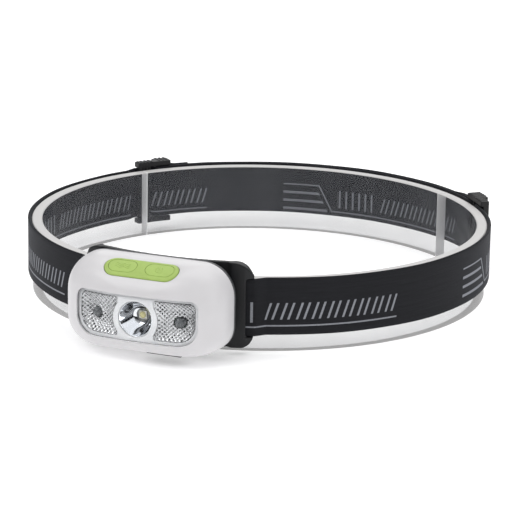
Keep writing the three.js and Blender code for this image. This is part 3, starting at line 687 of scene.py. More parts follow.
def webbing():
    path, arc = strap_route()
    tangent = np.gradient(path, axis=0)
    tangent /= np.linalg.norm(tangent, axis=1)[:, None]
    for _ in range(2):
        tangent[1:-1] = (tangent[:-2] + tangent[1:-1] * 2 + tangent[2:]) / 4
    tangent /= np.linalg.norm(tangent, axis=1)[:, None]
    normal = np.stack([tangent[:, 1], -tangent[:, 0]], 1)  # outwards: the route runs anticlockwise
    # cross-section: rounded selvedges, a slightly thinner middle
    half_w, t = (STRAP_Z1 - STRAP_Z0) / 2, STRAP_T / 2 - 0.03
    sec = []  # (v across, w through, side)
    zs = np.linspace(-half_w + 0.7, half_w - 0.7, 15)
    for z in zs:
        sec.append((z, t - 0.06 * (1 - (abs(z) / half_w) ** 6)))
    for k in range(1, 6):
        a = math.pi / 2 - math.pi * k / 6
        sec.append((half_w - 0.7 + 0.7 * math.cos(a), t * math.sin(a)))
    for z in zs[::-1]:
        sec.append((z, -t + 0.06 * (1 - (abs(z) / half_w) ** 6)))
    for k in range(1, 6):
        a = -math.pi / 2 - math.pi * k / 6
        sec.append((-half_w + 0.7 + 0.7 * math.cos(a), t * math.sin(a)))
    sec = np.array(sec)
    n = len(sec)
    zmid = (STRAP_Z0 + STRAP_Z1) / 2
    # cut places along the strip: at the back, in the left slider, behind the lamp, in the right slider, at the back
    ang = np.unwrap(np.arctan2(path[:, 1], path[:, 0]))
    ang = np.degrees(ang - ang[0]) + np.degrees(math.atan2(path[0, 1], path[0, 0]))
    start_i = int(np.argmin(np.abs(arc - 16)))

    def index_at(deg, lo=start_i):
        k = lo + int(np.argmax(ang[lo:] >= deg))
        return k

    cuts = [0] + [index_at(d) for d in (90, 142.2, 270, 360 + 38.2, 450)] + [len(path) - 1]
    names = ["webbing_inner_right", "webbing_inner_left", "webbing_front_left", "webbing_front_right", "webbing_outer_right", "webbing_outer_left"]
    out = []
    for name, i0, i1 in zip(names, cuts[:-1], cuts[1:]):
        idx = range(i0, i1 + 1)
        verts, uvs, side = [], [], []
        for i in idx:
            for v, w in sec:
                # slow ripple of the soft strip and a slight wave of its edges
                dz = 0.10 * math.sin(arc[i] / 23.0) + 0.05 * math.sin(arc[i] / 7.1 + 1.3)
                verts.append(to_row((path[i, 0] + normal[i, 0] * w, path[i, 1] + normal[i, 1] * w, zmid + v + dz * abs(v) / half_w)))
                uvs.append((arc[i] * MM, (v + half_w) * MM))
                side.append(1.0)
        faces = []
        k = len(list(idx))
        for a in range(k - 1):
            for i in range(n):
                j = (i + 1) % n
                faces.append((a * n + i, (a + 1) * n + i, (a + 1) * n + j, a * n + j))
        faces.append(tuple(range(n)))
        faces.append(tuple(range((k - 1) * n, k * n))[::-1])
        ob = mesh_object(name, verts, faces, M_WEB, smooth=False)
        fix_normals(ob)
        me = ob.data
        uv = me.uv_layers.new(name="UVMap")
        loops = np.zeros(len(me.loops), int)
        me.loops.foreach_get("vertex_index", loops)
        flat = np.array(uvs)[loops]
        # where the print sits: each face of the strip has its own reference place and direction
        ring_deg = np.degrees(np.arctan2(path[i0:i1 + 1, 1], path[i0:i1 + 1, 0]))
        outer_ref, inner_ref = PRINT_REFS[name]
        def arc_at(deg):
            d_ = np.abs((ring_deg - deg + 180) % 360 - 180)
            return arc[i0 + int(np.argmin(d_))]
        for poly in me.polygons:
            c_ = poly.center
            n_ = poly.normal
            inward = n_.x * c_.x + n_.y * (c_.y - SHIFT * MM) < 0
            deg, w0, scale = inner_ref if inward else outer_ref
            sign = -1.0 if inward else 1.0
            a_ref = arc_at(deg)
            for li in poly.loop_indices:
                flat[li, 0] = (sign * (flat[li, 0] / MM - a_ref) / scale + w0) * MM
                if inward:
                    flat[li, 1] += 0.0019
        uv.data.foreach_set("uv", flat.ravel())
        at = me.attributes.new("print_side", "FLOAT", "POINT")
        at.data.foreach_set("value", np.array(side, np.float32))
        shade(ob, 50)
        out.append((ob, arc[i1] - arc[i0]))
    return out, arc[-1]


strips, strip_length = webbing()
for (ob, length), (body, start, end) in zip(
    strips,
    [
        ("slider_right", 47, 84),
        ("slider_left", 133, 96),
        ("slider_left", 152, 200),
        ("slider_right", 28, -20),
        ("slider_right", 52, 86),
        ("slider_left", 128, 94),
    ],
):
    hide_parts("headband_webbing")
    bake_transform(ob)


# ---------------------------------------------------------------- sliders and bracket
def block(deg, s0, s1, r0, r1, z0, z1, n=4):
    pts = [ring_point(deg, s0 + (s1 - s0) * i / n, r1) for i in range(n + 1)]
    pts += [ring_point(deg, s0 + (s1 - s0) * i / n, r0) for i in range(n, -1, -1)]
    return [(p[0], p[1]) for p in pts], z0, z1


def fuse(name, blocks, voxel, smooth, mat, cuts=()):
    """Joins prisms into one moulded body with soft edges."""
    verts, faces = [], []
    for outline, z0, z1 in blocks:
        v, f = loft_mesh(np.array([[(x, y, z0) for x, y in outline], [(x, y, z1) for x, y in outline]]))
        base = len(verts)
        verts += [to_row(p) for p in v]
        faces += [tuple(i + base for i in q) for q in f]
    ob = mesh_object(name, verts, faces, mat, smooth=False)
    fix_normals(ob)
    md = ob.modifiers.new("skin", "REMESH")
    md.mode = "VOXEL"
    md.voxel_size = voxel * MM
    sm = ob.modifiers.new("soft", "SMOOTH")
    sm.factor = 0.5
    sm.iterations = smooth
    apply_modifiers(ob)
    set_mat(ob, mat)
    for p in ob.data.polygons:
        p.use_smooth = True
    return ob


B0, B1, T0, T1 = 4.7, 7.1, 32.9, 35.3


def slider_blocks(side):
    out = []
    if side == "left":
        c = SLIDER_L
        out.append(block(c, 2.2, 8.9, 104.55, 106.1, B0, T1))
        for s in (2.3, 4.0, 5.7, 7.4):
            out.append(block(c, s, s + 1.05, 104.0, 104.9, B0, T1))
        out.append(block(c, -3.4, -1.6, 105.9, 108.9, B0, T1))
        out.append(block(c, -8.0, -6.0, 107.7, 109.7, B0, T1))
        for z0, z1 in ((B0, B1), (T0, T1)):
            out.append(block(c, -8.8, 9.0, 104.1, 108.2, z0, z1, 8))
            out.append(block(c, -8.8, -1.2, 108.0, 110.4, z0, z1, 4))
        # finger ribs on the ends
        for s in (-7.6, -5.6, -3.6):
            out.append(block(c, s, s + 0.9, 105.0, 110.2, T1 - 0.2, T1 + 0.35, 1))
        for s in (1.4, 3.4, 5.4, 7.2):
            out.append(block(c, s, s + 0.9, 104.3, 108.0, T1 - 0.2, T1 + 0.35, 1))
    else:
        c = SLIDER_R
        out.append(block(c, -8.9, -2.0, 105.9, 108.0, B0, T1))
        for s in (-8.8, -7.1, -5.4, -3.7):
            out.append(block(c, s, s + 1.05, 107.8, 108.75, B0, T1))
        out.append(block(c, 2.4, 3.7, 105.2, 107.4, B0, T1))
        out.append(block(c, 6.0, 8.0, 105.8, 107.8, B0, T1))
        for z0, z1 in ((B0, B1), (T0, T1)):
            out.append(block(c, -9.0, 9.0, 104.6, 108.4, z0, z1, 8))
            out.append(block(c, -1.2, 9.0, 108.2, 110.8, z0, z1, 4))
        for s in (-7.8, -5.8, -3.8, -1.8):
            out.append(block(c, s, s + 0.9, 104.8, 108.4, T1 - 0.2, T1 + 0.35, 1))
        for s in (1.2, 3.2, 5.2, 7.2):
            out.append(block(c, s, s + 0.9, 105.0, 110.6, T1 - 0.2, T1 + 0.35, 1))
    return out


for side in ("left", "right"):
    ob = fuse(f"slider_{side}_moulding", slider_blocks(side), 0.22, 3, M_SLIDER)
    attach(ob, f"slider_{side}")
    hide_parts(f"slider_{side}")


def bracket_blocks():
    c = 270
    out = [block(c, -29.8, 29.8, 106.0, 108.2, 10.4, 39.7, 24)]
    for sgn in (-1, 1):
        def seg(a, b, r0, r1, z0, z1, n=4):
            s0, s1 = (a, b) if sgn > 0 else (-b, -a)
            return block(c, s0, s1, r0, r1, z0, z1, n)

        # end loop round the webbing, with its corners stepped finely enough for the skin to round them
        out.append(seg(25.0, 29.8, 105.95, 108.2, 2.8, 39.7))
        steps = 26
        for i in range(steps):
            a = 28.0 + 10.4 * i / steps
            m = a + 5.2 / steps
            e = min(1.0, max(0.0, (m - 29.0) / 8.5))
            e = e * e * (3 - 2 * e)
            r_in = 105.95 - 1.85 * min(1.0, max(0.0, (m - 29.2) / 4.0))
            r_out = 109.2 - 1.6 * (m - 35.4) / 3.0
            top = 39.7 if m < 29.6 else 30.9 + math.sqrt(max(0.0, 8.8 ** 2 - (m - 29.6) ** 2))
            bot = 2.8 if m < 32.6 else 8.6 - math.sqrt(max(0.0, 5.8 ** 2 - (m - 32.6) ** 2))
            wd = 10.4 / steps + 0.1
            if m < 35.4:
                r_out = 109.4 if m > 29.4 else 108.2 + 1.2 * (m - 28.0) / 1.4
                out.append(seg(a, a + wd, 107.95, r_out, bot, top, 1))
            out.append(seg(a, a + wd, r_in, r_out, bot, 7.35, 1))
            out.append(seg(a, a + wd, r_in, r_out, 32.65, max(top, 33.6), 1))
            if m > 35.6:
                out.append(seg(a, a + wd, 104.1, 106.0, bot, top, 1))
    return out


def bracket():
    ob = fuse("bracket_moulding", bracket_blocks(), 0.33, 4, M_BLACK)
    HINGE = (-109.2, HINGE_Z)
    for x0 in (-14.8, 12.2):
        ang = [2 * math.pi * i / 28 for i in range(28)]
        prof = [(HINGE[0] + 2.4 * math.cos(a), HINGE[1] + 2.4 * math.sin(a)) for a in ang]
        verts, faces = loft_mesh(np.array([[(x0, y, z) for y, z in prof], [(x0 + 2.6, y, z) for y, z in prof]]))
        ear = solid_object("ear", verts, faces, M_BLACK)
        web = [(-109.2, 5.9), (-106.3, 5.9), (-106.3, 13.0), (-108.0, 13.0), (-108.0, 9.9), (-109.2, 9.9)]
        verts, faces = loft_mesh(np.array([[(x0 + 0.02, y, z) for y, z in web], [(x0 + 2.58, y, z) for y, z in web]]))
        webo = solid_object("web", verts, faces, M_BLACK)
        boolean(ear, webo, "UNION")
        boolean(ob, ear, "UNION")
    win = prism_y("win", rounded_rect(13, 15, 33, 4, 4, 8), -112, -100)
    boolean(ob, win)
    set_mat(ob, M_BLACK)
    shade(ob, 40)
    return ob


br = bracket()
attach(br, "headband")
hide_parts("bracket")


# ---------------------------------------------------------------- clear former
def former(name, d0, d1):
    gap = 0.1
    n = int(math.ceil((d1 - d0) / 1.0))
    prof = []
    c = 0.35  # edge chamfer
    corners = [
        (FORMER_RI, 0 + c), (FORMER_RI + c, 0), (FORMER_RO - c, 0), (FORMER_RO, c),
        (FORMER_RO, FORMER_H - c), (FORMER_RO - c, FORMER_H), (FORMER_RI + c, FORMER_H), (FORMER_RI, FORMER_H - c),
    ]
    prof = corners
    k = len(prof)
    verts, faces, mats = [], [], []
    for i in range(n + 1):
        a = rad(d0 + gap + (d1 - d0 - 2 * gap) * i / n)
        for r, z in prof:
            verts.append(to_row((r * math.cos(a), r * math.sin(a), z)))
    for i in range(n):
        for j in range(k):
            q = (j + 1) % k
            faces.append((i * k + j, (i + 1) * k + j, (i + 1) * k + q, i * k + q))
            mats.append(0 if j in (0, 2, 3, 7) else 1)
    faces.append(tuple(range(k)))
    mats.append(2)
    faces.append(tuple(range(n * k, n * k + k))[::-1])
    mats.append(2)
    ob = mesh_object(name, verts, faces, [M_FORMER, M_EDGE, M_JOINT], smooth=False)
    fix_normals(ob)
    ob.data.polygons.foreach_set("material_index", mats)
    shade(ob, 30)
    ob.visible_shadow = False
    return ob


for name, d0, d1, node in (("former_front_arc", 146, 413, "band_former_front"), ("former_back_arc", 53, 146, "band_former_back")):
    ob = former(name, d0, d1)
    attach(ob, "band_former")
    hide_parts(node)


# ---------------------------------------------------------------- lamp shells
def window_outline(inset, n=12):
    return rounded_rect(WIN_W - inset, WIN_Z0 + inset, WIN_Z1 - inset, 4 - inset, 8.5 - inset, n)


def rear_outline(inset, n=16):
    return rounded_rect(SHELL_W - inset, BOT_C - BOT_R + inset, TOP_C + TOP_R - inset, CORNER_TOP - inset, CORNER_BOT - inset, n)


skin_probe = housing_object("skin_probe", 0.0, SHELL_REAR, n=24, side=12, sections=80)
bvh = BVHTree.FromObject(skin_probe, bpy.context.evaluated_depsgraph_get())
drop(skin_probe)


def surface_n(u, v):
    """Height of the housing's skin over the pad's plane, in mm."""
    o = Vector(to_row(pad_point(u, v, 12)))
    d = (Vector(to_row(pad_point(u, v, 0))) - o).normalized()
    hit = bvh.ray_cast(o, d)
    if hit[0] is None:
        return 0.0
    return 12 - (hit[0] - o).length / MM


shell = housing_object("front_shell_moulding", 0.0, SHELL_REAR)
boolean(shell, housing_object("inner", -WALL, SHELL_REAR + 5, n=10, side=2, sections=22))
boolean(shell, prism_y("window", window_outline(0), -140, -128))
boolean(shell, prism_pad("slot", stadium(PAD_L + 0.5, PAD_B + 0.5, 24), -4, 4))
boolean(shell, prism_z("port", [(x + 10.4, y) for x, y in rounded_rect(8.2, -129.1, -120.9, 0.8, 0.8, 4)], 0, 8))
BOSSES = [(-27.6, 12.6), (27.6, 12.6), (-27.2, 33.0), (27.2, 33.0)]
soften(shell, 0.22, 2, 50)
set_mat(shell, M_SHELL)
shade(shell, 40)
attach(shell, "lamp_head")
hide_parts("front_shell")


def ring_part(name, sections, mat, body, node, slot_name, hollow=None):
    """Body whose outline follows the housing's rear edge: sections are (inset, y)."""
    rings = [[(x, y, z) for x, z in rear_outline(i)] for i, y in sections]
    v, f = loft_mesh(np.array(rings))
    ob = solid_object(name, v, f, mat)
    if hollow:
        rings = [[(x, y, z) for x, z in rear_outline(i)] for i, y in hollow]
        v, f = loft_mesh(np.array(rings))
        boolean(ob, solid_object("hollow", v, f, mat))
    return ob


gasket = ring_part("rim_gasket_seal", [(0.35, -115.15), (0.0, -114.9), (-0.05, -114.1), (0.3, -113.8)], M_GASKET, "lamp_head", "rim_gasket", "grey_rubber", hollow=[(2.2, -116), (2.2, -112)])
set_mat(gasket, M_GASKET)
shade(gasket, 40)
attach(gasket, "lamp_head")
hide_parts("rim_gasket")

rear = ring_part(
    "rear_shell_moulding",
    [(3.9, -109.6), (3.0, -109.75), (1.9, -110.25), (1.15, -111.0), (0.7, -111.9), (0.45, -112.8), (0.4, -113.7)],
    M_BLACK, "lamp_head", "rear_shell", "black_plastic",
)
v_, f_ = loft_mesh(np.array([[(x, y, z) for x, z in rounded_rect(33.4 if y < -112 else 32.2, 12.0, 39.4 if y < -112 else 38.2, 11, 3, 12)] for y in (-111.1, -114.2)]))
boolean(rear, solid_object("cavity", v_, f_))
for x0 in (-15.1, 11.9):
    v_, f_ = loft_mesh(np.array([[(x0, y, z) for y, z in ((-112.4, 2), (-109, 2), (-109, 10.6), (-112.4, 10.6))], [(x0 + 3.2, y, z) for y, z in ((-112.4, 2), (-109, 2), (-109, 10.6), (-112.4, 10.6))]]))
    boolean(rear, solid_object("ear_room", v_, f_))


def cylinder_x(name, r, x0, x1, y, z, n=32):
    prof = [(y + r * math.cos(2 * math.pi * i / n), z + r * math.sin(2 * math.pi * i / n)) for i in range(n)]
    v, f = loft_mesh(np.array([[(x0, a, b) for a, b in prof], [(x1, a, b) for a, b in prof]]))
    return solid_object(name, v, f)


boolean(rear, cylinder_x("knuckle", 2.4, -11.7, 11.7, -109.2, HINGE_Z), "UNION")
boolean(rear, cylinder_x("bore", 1.08, -16.2, 16.2, -109.2, HINGE_Z))
for x, z in BOSSES:
    boolean(rear, cylinder_y("shank", 1.4, -115, -109, x, z))
    boolean(rear, cylinder_y("head", 2.5, -110.9, -108, x, z))
# a shallow moulded panel on the back
boolean(rear, prism_y("panel", rounded_rect(17, 16.5, 31.5, 3, 3, 8), -109.85, -108))
soften(rear, 0.18, 2, 50)
set_mat(rear, M_BLACK)
shade(rear, 40)
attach(rear, "lamp_head")
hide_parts("rear_shell")

# ---------------------------------------------------------------- lens and carrier
lens = housing_object("lens_window", -0.4, SHELL_REAR)
boolean(lens, housing_object("lens_in", -1.6, SHELL_REAR + 1))
boolean(lens, prism_y("lens_cut", window_outline(0.12, 16), -140, -126), "INTERSECT")
set_mat(lens, M_CLEAR)
shade(lens, 40)
lens.visible_shadow = False
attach(lens, "lamp_head")
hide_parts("lens")


def wing(side, inset, n=24):
    """Outline of the pocket beside the round reflector, as (x, z)."""
    pts = []
    r_in = 9.9 + inset
    xi, zt, zb = 7.9 + inset, 28.3 - inset, 11.2 + inset
    a = math.acos(xi / r_in)
    for t in range(7):
        q = rad(90 + 15 * t)
        pts.append((xi + 1.1 + 1.1 * math.cos(q), zt - 1.1 + 1.1 * math.sin(q)))
    for i in range(13):
        t = a - 2 * a * i / 12
        pts.append((r_in * math.cos(t), OPTIC_Z + r_in * math.sin(t)))
    for t in range(7):
        q = rad(180 + 15 * t)
        pts.append((xi + 1.1 + 1.1 * math.cos(q), zb + 1.1 + 1.1 * math.sin(q)))
    xr, rb, rt = 25.9 - inset, 7.5 - inset, 3 - inset * 0.7
    for i in range(13):
        t = rad(-90 + 7.5 * i)
        pts.append((xr - rb + rb * math.cos(t), zb + rb + rb * math.sin(t)))
    for i in range(9):
        t = rad(90 * i / 8)
        pts.append((xr - rt + rt * math.cos(t), zt - rt + rt * math.sin(t)))
    return pts if side > 0 else [(-x, z) for x, z in pts][::-1]


carrier = housing_object("reflector_carrier_plate", -1.75, SHELL_REAR)
boolean(carrier, housing_object("carrier_in", -3.0, SHELL_REAR + 1))
boolean(carrier, prism_y("carrier_cut", window_outline(0.15, 16), -140, -126), "INTERSECT")
boolean(carrier, cylinder_y("round", MAIN_R + 0.5, -140, -120, 0, OPTIC_Z, 96))
for side in (-1, 1):
    boolean(carrier, prism_y("pocket", wing(side, 0.1), -140, -120))
soften(carrier, 0.15, 2, 50)
set_mat(carrier, M_CARRIER)
shade(carrier, 40)
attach(carrier, "lamp_head")
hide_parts("reflector_carrier")


# ---------------------------------------------------------------- reflectors
def lathe_y(name, profile, x, z, mat, n=96, angle=35):
    """profile: closed loop of (radius, y), or one that starts and ends on the axis."""
    verts, faces = [], []
    closed = profile[0][0] > 1e-6
    k = len(profile)
    for i in range(n):
        a = 2 * math.pi * i / n
        for r, y in profile:
            verts.append(to_row((x + r * math.cos(a), y, z + r * math.sin(a))))
    for i in range(n):
        j = (i + 1) % n
        for q in range(k if closed else k - 1):
            w = (q + 1) % k
            faces.append((i * k + q, j * k + q, j * k + w, i * k + w))
    ob = mesh_object(name, verts, faces, mat, smooth=False)
    bm = bmesh.new()
    bm.from_mesh(ob.data)
    bmesh.ops.remove_doubles(bm, verts=bm.verts, dist=1e-7)
    bmesh.ops.recalc_face_normals(bm, faces=bm.faces)
    bm.to_mesh(ob.data)
    bm.free()
    shade(ob, angle)
    return ob


prof = []
for i in range(25):
    u = i / 24
    prof.append((2.8 + (MAIN_R - 2.8) * math.sqrt(u), -133.8 + 7.3 * (1 - u)))
back = [(r + 0.4, y + 0.3) for r, y in prof][::-1]
back[0] = (MAIN_R + 0.4, -133.7)
main_ref = lathe_y("main_reflector_cup", prof + [(MAIN_R + 0.15, -133.92), (MAIN_R + 0.35, -133.85)] + back, 0, OPTIC_Z, M_CHROME)
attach(main_ref, "lamp_head")
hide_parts("main_reflector")


def crown_y(x, z, grow):
    """Y of the housing's front at x (plan crown only)."""
    w0, depth = SHELL_W + grow, SHELL_DEPTH + grow
    return SHELL_Y0 - depth * max(0.0, 1 - (abs(x) / w0) ** 3) ** (1 / 3)


def side_reflector(side):
    outline = wing(side, 0.3)
    pts = np.array(outline)
    # evenly spaced outline
    loop = np.vstack([pts, pts[:1]])
    d = np.r_[0, np.cumsum(np.linalg.norm(np.diff(loop, axis=0), axis=1))]
    n = 260
    t = np.linspace(0, d[-1], n, endpoint=False)
    edge = np.stack([np.interp(t, d, loop[:, 0]), np.interp(t, d, loop[:, 1])], 1)
    c = np.array([SIDE_X * side, OPTIC_Z])
    m = 64
    r0 = 2.55
    front, rear_ = [], []
    for k in range(m + 1):
        q = k / m
        for p in edge:
            v = p - c
            L = np.linalg.norm(v)
            r = r0 + (L - r0) * q
            x, z = c + v / L * r
            y_edge = crown_y(p[0], p[1], -2.0)
            depth = 2.6 * (1 - q ** 2.2)
            y = y_edge + depth + (crown_y(x, z, -2.0) - y_edge) * q * 0.4
            # diamond dimples
            a = (x * side + z) * math.pi / 1.75
            b = (x * side - z) * math.pi / 1.75
            h = 0.30 * (abs(math.sin(a)) * abs(math.sin(b))) ** 0.8
            fade = min(1.0, (1 - q) * 14) * min(1.0, q * 8)
            front.append((x, y + h * fade, z))
            rear_.append((x, min(y + 0.75, -128.9 + 0.5), z))
    verts = [to_row(p) for p in front] + [to_row(p) for p in rear_]
    base = len(front)
    faces = []
    for k in range(m):
        for i in range(n):
            j = (i + 1) % n
            faces.append((k * n + i, k * n + j, (k + 1) * n + j, (k + 1) * n + i))
            faces.append((base + k * n + i, base + (k + 1) * n + i, base + (k + 1) * n + j, base + k * n + j))
    for i in range(n):
        j = (i + 1) % n
        faces.append((i, base + i, base + j, j))
        faces.append((m * n + i, m * n + j, base + m * n + j, base + m * n + i))
    name = "side_reflector_left_cup" if side < 0 else "side_reflector_right_cup"
    ob = mesh_object(name, verts, faces, M_CHROME_DULL, smooth=False)
    fix_normals(ob)
    shade(ob, 28)
    return ob


for side, node in ((-1, "side_reflector_left"), (1, "side_reflector_right")):
    ob = side_reflector(side)
    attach(ob, "lamp_head")
    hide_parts(node)
    dome = [(0.0, -132.5)]
    for i in range(1, 15):
        a = rad(90 * i / 14)
        dome.append((2.25 * math.sin(a), -130.25 - 2.25 * math.cos(a)))
    dome += [(2.25, -125.0), (2.25, -124.8), (2.25, -123.95), (0.0, -123.95)]
    led = lathe_y("side_led_left_dome" if side < 0 else "side_led_right_dome", dome, SIDE_X * side, OPTIC_Z, M_DOME, 48)
    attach(led, "lamp_head")
    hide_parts("side_led_left" if side < 0 else "side_led_right")

# main emitter: ceramic base with a domed phosphor on a star board
base_ = prism_y("main_led_emitter", rounded_rect(1.72, OPTIC_Z - 1.72, OPTIC_Z + 1.72, 0.2, 0.2, 4), -126.55, -125.5, M_CERAMIC)
set_mat(base_, M_CERAMIC, M_PHOSPHOR)
dome = [(0.0, -127.75)]
for i in range(1, 13):
    a = rad(90 * i / 12)
    dome.append((1.45 * math.sin(a), -126.5 - 1.25 * math.cos(a)))
dome += [(1.45, -126.4), (0.0, -126.4)]
top = lathe_y("dome", dome, 0, OPTIC_Z, M_PHOSPHOR, 48)
for p in top.data.polygons:
    p.material_index = 0
n0 = len(base_.data.polygons)
bm = bmesh.new()
bm.from_mesh(base_.data)
for f in bm.faces:
    f.material_index = 0
k0 = len(bm.faces)
bm.from_mesh(top.data)
bm.faces.ensure_lookup_table()
for f in bm.faces[k0:]:
    f.material_index = 1
bm.to_mesh(base_.data)
bm.free()
drop(top)
shade(base_, 35)
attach(base_, "lamp_head")
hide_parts("main_led")


# ---------------------------------------------------------------- pad and keys
def pad_piece(name, length, width, cx, height, under, mat, edge=0.7, hole=None, icon=None, rings=26, n=64, sink=0.0):
    """Soft moulded pad that follows the housing. Outline is a stadium; hole is not used."""
    r = width / 2
    half = length / 2 - r
    ns, na = max(12, int(half * 2 / 0.28)), 44
    line = [-half + 2 * half * i / ns for i in range(ns)]
    rim = [(cx + u, -r) for u in line]
    rim += [(cx + half + r * math.sin(rad(180 * i / na)), -r * math.cos(rad(180 * i / na))) for i in range(na)]
    rim += [(cx - u, r) for u in line]
    rim += [(cx - half - r * math.sin(rad(180 * i / na)), r * math.cos(rad(180 * i / na))) for i in range(na)]
    rim = np.array(rim)
    m = len(rim)
    line = [-half + 2 * half * i / ns for i in range(ns + 1)]
    core = np.array([(cx + u, 0.0) for u in line[:ns]] + [(cx + half, 0.0)] * na
                    + [(cx + line[ns - i], 0.0) for i in range(ns)] + [(cx - half, 0.0)] * na)
    top = []
    for k in range(rings + 1):
        q = k / rings
        q = q ** 0.75
        for p, c in zip(rim, core):
            u, v = c + (p - c) * q
            dist = r * (1 - q)
            e = min(1.0, dist / edge)
            h = height * math.sqrt(max(0.0, 1 - (1 - e) ** 2)) - sink
            if icon:
                h += icon(u - cx, v)
            top.append(pad_point(u, v, surface_n(u, v) + h))
    bottom = []
    for p in rim:
        bottom.append(pad_point(p[0], p[1], surface_n(p[0], p[1]) - under))
    verts = [to_row(p) for p in top] + [to_row(p) for p in bottom]
    faces = []
    for k in range(rings):
        for i in range(m):
            j = (i + 1) % m
            faces.append((k * m + i, k * m + j, (k + 1) * m + j, (k + 1) * m + i))
    base = len(top)
    last = rings * m
    for i in range(m):
        j = (i + 1) % m
        faces.append((last + i, last + j, base + j, base + i))
    faces.append(tuple(range(base, base + m)))
    ob = mesh_object(name, verts, faces, mat, smooth=False)
    bm = bmesh.new()
    bm.from_mesh(ob.data)
    bmesh.ops.remove_doubles(bm, verts=bm.verts, dist=2e-6)
    bmesh.ops.recalc_face_normals(bm, faces=bm.faces)
    bm.to_mesh(ob.data)
    bm.free()
    return ob


def soft_line(dist, half=0.24, h=0.22):
    t = max(0.0, 1 - max(0.0, dist - half * 0.4) / half)
    return h * t * t * (3 - 2 * t)


def icon_power(u, v):
    rr = math.hypot(u, v)
    d1 = abs(rr - 1.55)
    if v > 0 and abs(u) < 0.75:
        d1 = 9
    d2 = abs(u) if 0.2 < v < 2.1 else 9
    return soft_line(min(d1, d2))


def icon_wave(u, v):
    best = 9.0
    for off in (-0.9, 0.0, 0.9):
        if abs(u) < 3.2:
            best = min(best, abs(v - off - 0.35 * math.sin(u * 1.9)) * 0.8)
    return soft_line(best, 0.2, 0.2)


pad = pad_piece("button_pad_skirt", PAD_L, PAD_B, 0.0, 0.6, 1.6, M_PAD, edge=1.3)
for kx in (-KEY_X, KEY_X):
    boolean(pad, prism_pad("key_room", stadium(12.8, 7.0, 32, kx, 0), -5, 5))
soften(pad, 0.06, 2, 50)
set_mat(pad, M_PAD)
shade(pad, 40)
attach(pad, "lamp_head")
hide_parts("button_pad")
for name, node, kx, icon in (("sensor_key_cap", "sensor_key", -KEY_X, icon_wave), ("power_key_cap", "power_key", KEY_X, icon_power)):
    ob = pad_piece(name, 12.72, 6.92, kx, 0.64, 1.4, M_KEY, edge=0.3, icon=icon, rings=44, n=64)
    stem = prism_pad("stem", stadium(3, 3, 12, kx, 0), -3.5, -0.4)
    boolean(ob, stem, "UNION")
    set_mat(ob, M_KEY)
    shade(ob, 45)
    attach(ob, node)
    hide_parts(node)

# ---------------------------------------------------------------- port cover
cover = prism_z("port_cover_flap", [(x + 10.4, y) for x, y in rounded_rect(7.9, -128.8, -121.2, 0.7, 0.7, 5)], 3.8, 5.3, M_RUBBER)
boolean(cover, prism_z("plug", [(x + 10.3, y) for x, y in rounded_rect(2.7, -126.1, -124.8, 0.4, 0.4, 4)], 5.1, 8.0), "UNION")
boolean(cover, prism_z("nail", [(x + 16.6, y) for x, y in rounded_rect(0.7, -127.0, -123.0, 0.3, 0.3, 4)], 3.0, 4.1))
soften(cover, 0.2, 2, 50)
set_mat(cover, M_RUBBER)
shade(cover, 40)
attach(cover, "usb_cover")
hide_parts("usb_cover")

# ---------------------------------------------------------------- CAD nodes that stay
for node, mat in {
    "hinge_pin": M_STEEL, "led_star_board": M_STAR, "circuit_board": M_PCB, "usb_socket": M_STEEL, "motion_sensor": M_DOME,
    "switch_board": M_PCB, "tact_switch_sensor": M_BLACK, "tact_switch_power": M_BLACK, "battery_cell": M_FOIL,
    "battery_lead_red": M_RED, "battery_lead_black": M_WIRE, "screw_1": M_STEEL, "screw_2": M_STEEL, "screw_3": M_STEEL, "screw_4": M_STEEL,
}.items():
    o = NODES[node]
    o.data.materials.clear()
    o.data.materials.append(mat)


# ---------------------------------------------------------------- stage and light
def floor_material():
    m, nt, b = new_mat("floor")
    v = coords(nt, 1.0)
    n = noise(nt, v, 3.0, 2)
    nt.links.new(mix_color(nt, n, (0.90, 0.90, 0.905), (0.925, 0.925, 0.93)), b.inputs["Base Color"])
    b.inputs["Roughness"].default_value = 0.75
    b.inputs["Specular IOR Level"].default_value = 0.2
    b.inputs["Emission Color"].default_value = (1.0, 1.0, 1.0, 1)
    b.inputs["Emission Strength"].default_value = 0.34
    return m


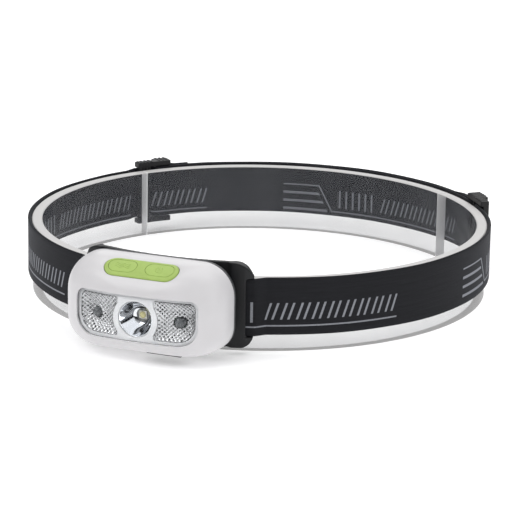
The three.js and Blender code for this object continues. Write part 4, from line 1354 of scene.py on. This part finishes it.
bpy.ops.mesh.primitive_plane_add(size=14, location=(0, 2, -0.0002))
floor = bpy.context.object
floor.name = "floor"
floor.data.materials.append(floor_material())

world = bpy.data.worlds.new("studio")
bpy.context.scene.world = world
world.use_nodes = True
nt = world.node_tree
bg = nt.nodes["Background"]
tc = nt.nodes.new("ShaderNodeTexCoord")
sep = nt.nodes.new("ShaderNodeSeparateXYZ")
nt.links.new(tc.outputs["Generated"], sep.inputs[0])
cr = nt.nodes.new("ShaderNodeValToRGB")
cr.color_ramp.elements[0].position = 0.0
cr.color_ramp.elements[0].color = (0.30, 0.30, 0.31, 1)
cr.color_ramp.elements[1].position = 1.0
cr.color_ramp.elements[1].color = (1.0, 1.0, 1.0, 1)
mid = cr.color_ramp.elements.new(0.42)
mid.color = (0.40, 0.41, 0.43, 1)
nt.links.new(ramp(nt, sep.outputs[2], 0, 1, -0.2, 0.8), cr.inputs[0])
# a dark wall in front of the lamp, so that bright metal has something dark to mirror
wall = ramp(nt, sep.outputs[1], 1.0, 0.0, -0.75, -0.45)
low = ramp(nt, sep.outputs[2], 1.0, 0.0, 0.20, 0.42)
dark = math_node(nt, "MULTIPLY", wall, low)
nt.links.new(mix_color(nt, dark, cr.outputs[0], (0.03, 0.03, 0.033)), bg.inputs["Color"])
bg.inputs["Strength"].default_value = 0.56


def area(name, loc, size, power, target=(0, 0, 0.02), color=(1, 1, 1)):
    l = bpy.data.lights.new(name, "AREA")
    l.shape = "RECTANGLE"
    l.size, l.size_y = size
    l.energy = power
    l.color = color
    ob = bpy.data.objects.new(name, l)
    bpy.context.scene.collection.objects.link(ob)
    ob.location = loc
    d = Vector(target) - Vector(loc)
    ob.rotation_euler = d.to_track_quat("-Z", "Y").to_euler()
    return ob


area("key", (-0.55, -0.9, 0.95), (0.9, 0.7), 6.0)
area("top", (0.1, 0.2, 1.2), (1.4, 1.2), 7.6)
area("fill", (1.2, -0.5, 0.5), (0.8, 0.8), 2.8)
area("back", (-0.2, 1.3, 0.7), (1.4, 0.7), 3.5)

bpy.context.scene.view_settings.view_transform = "Standard"
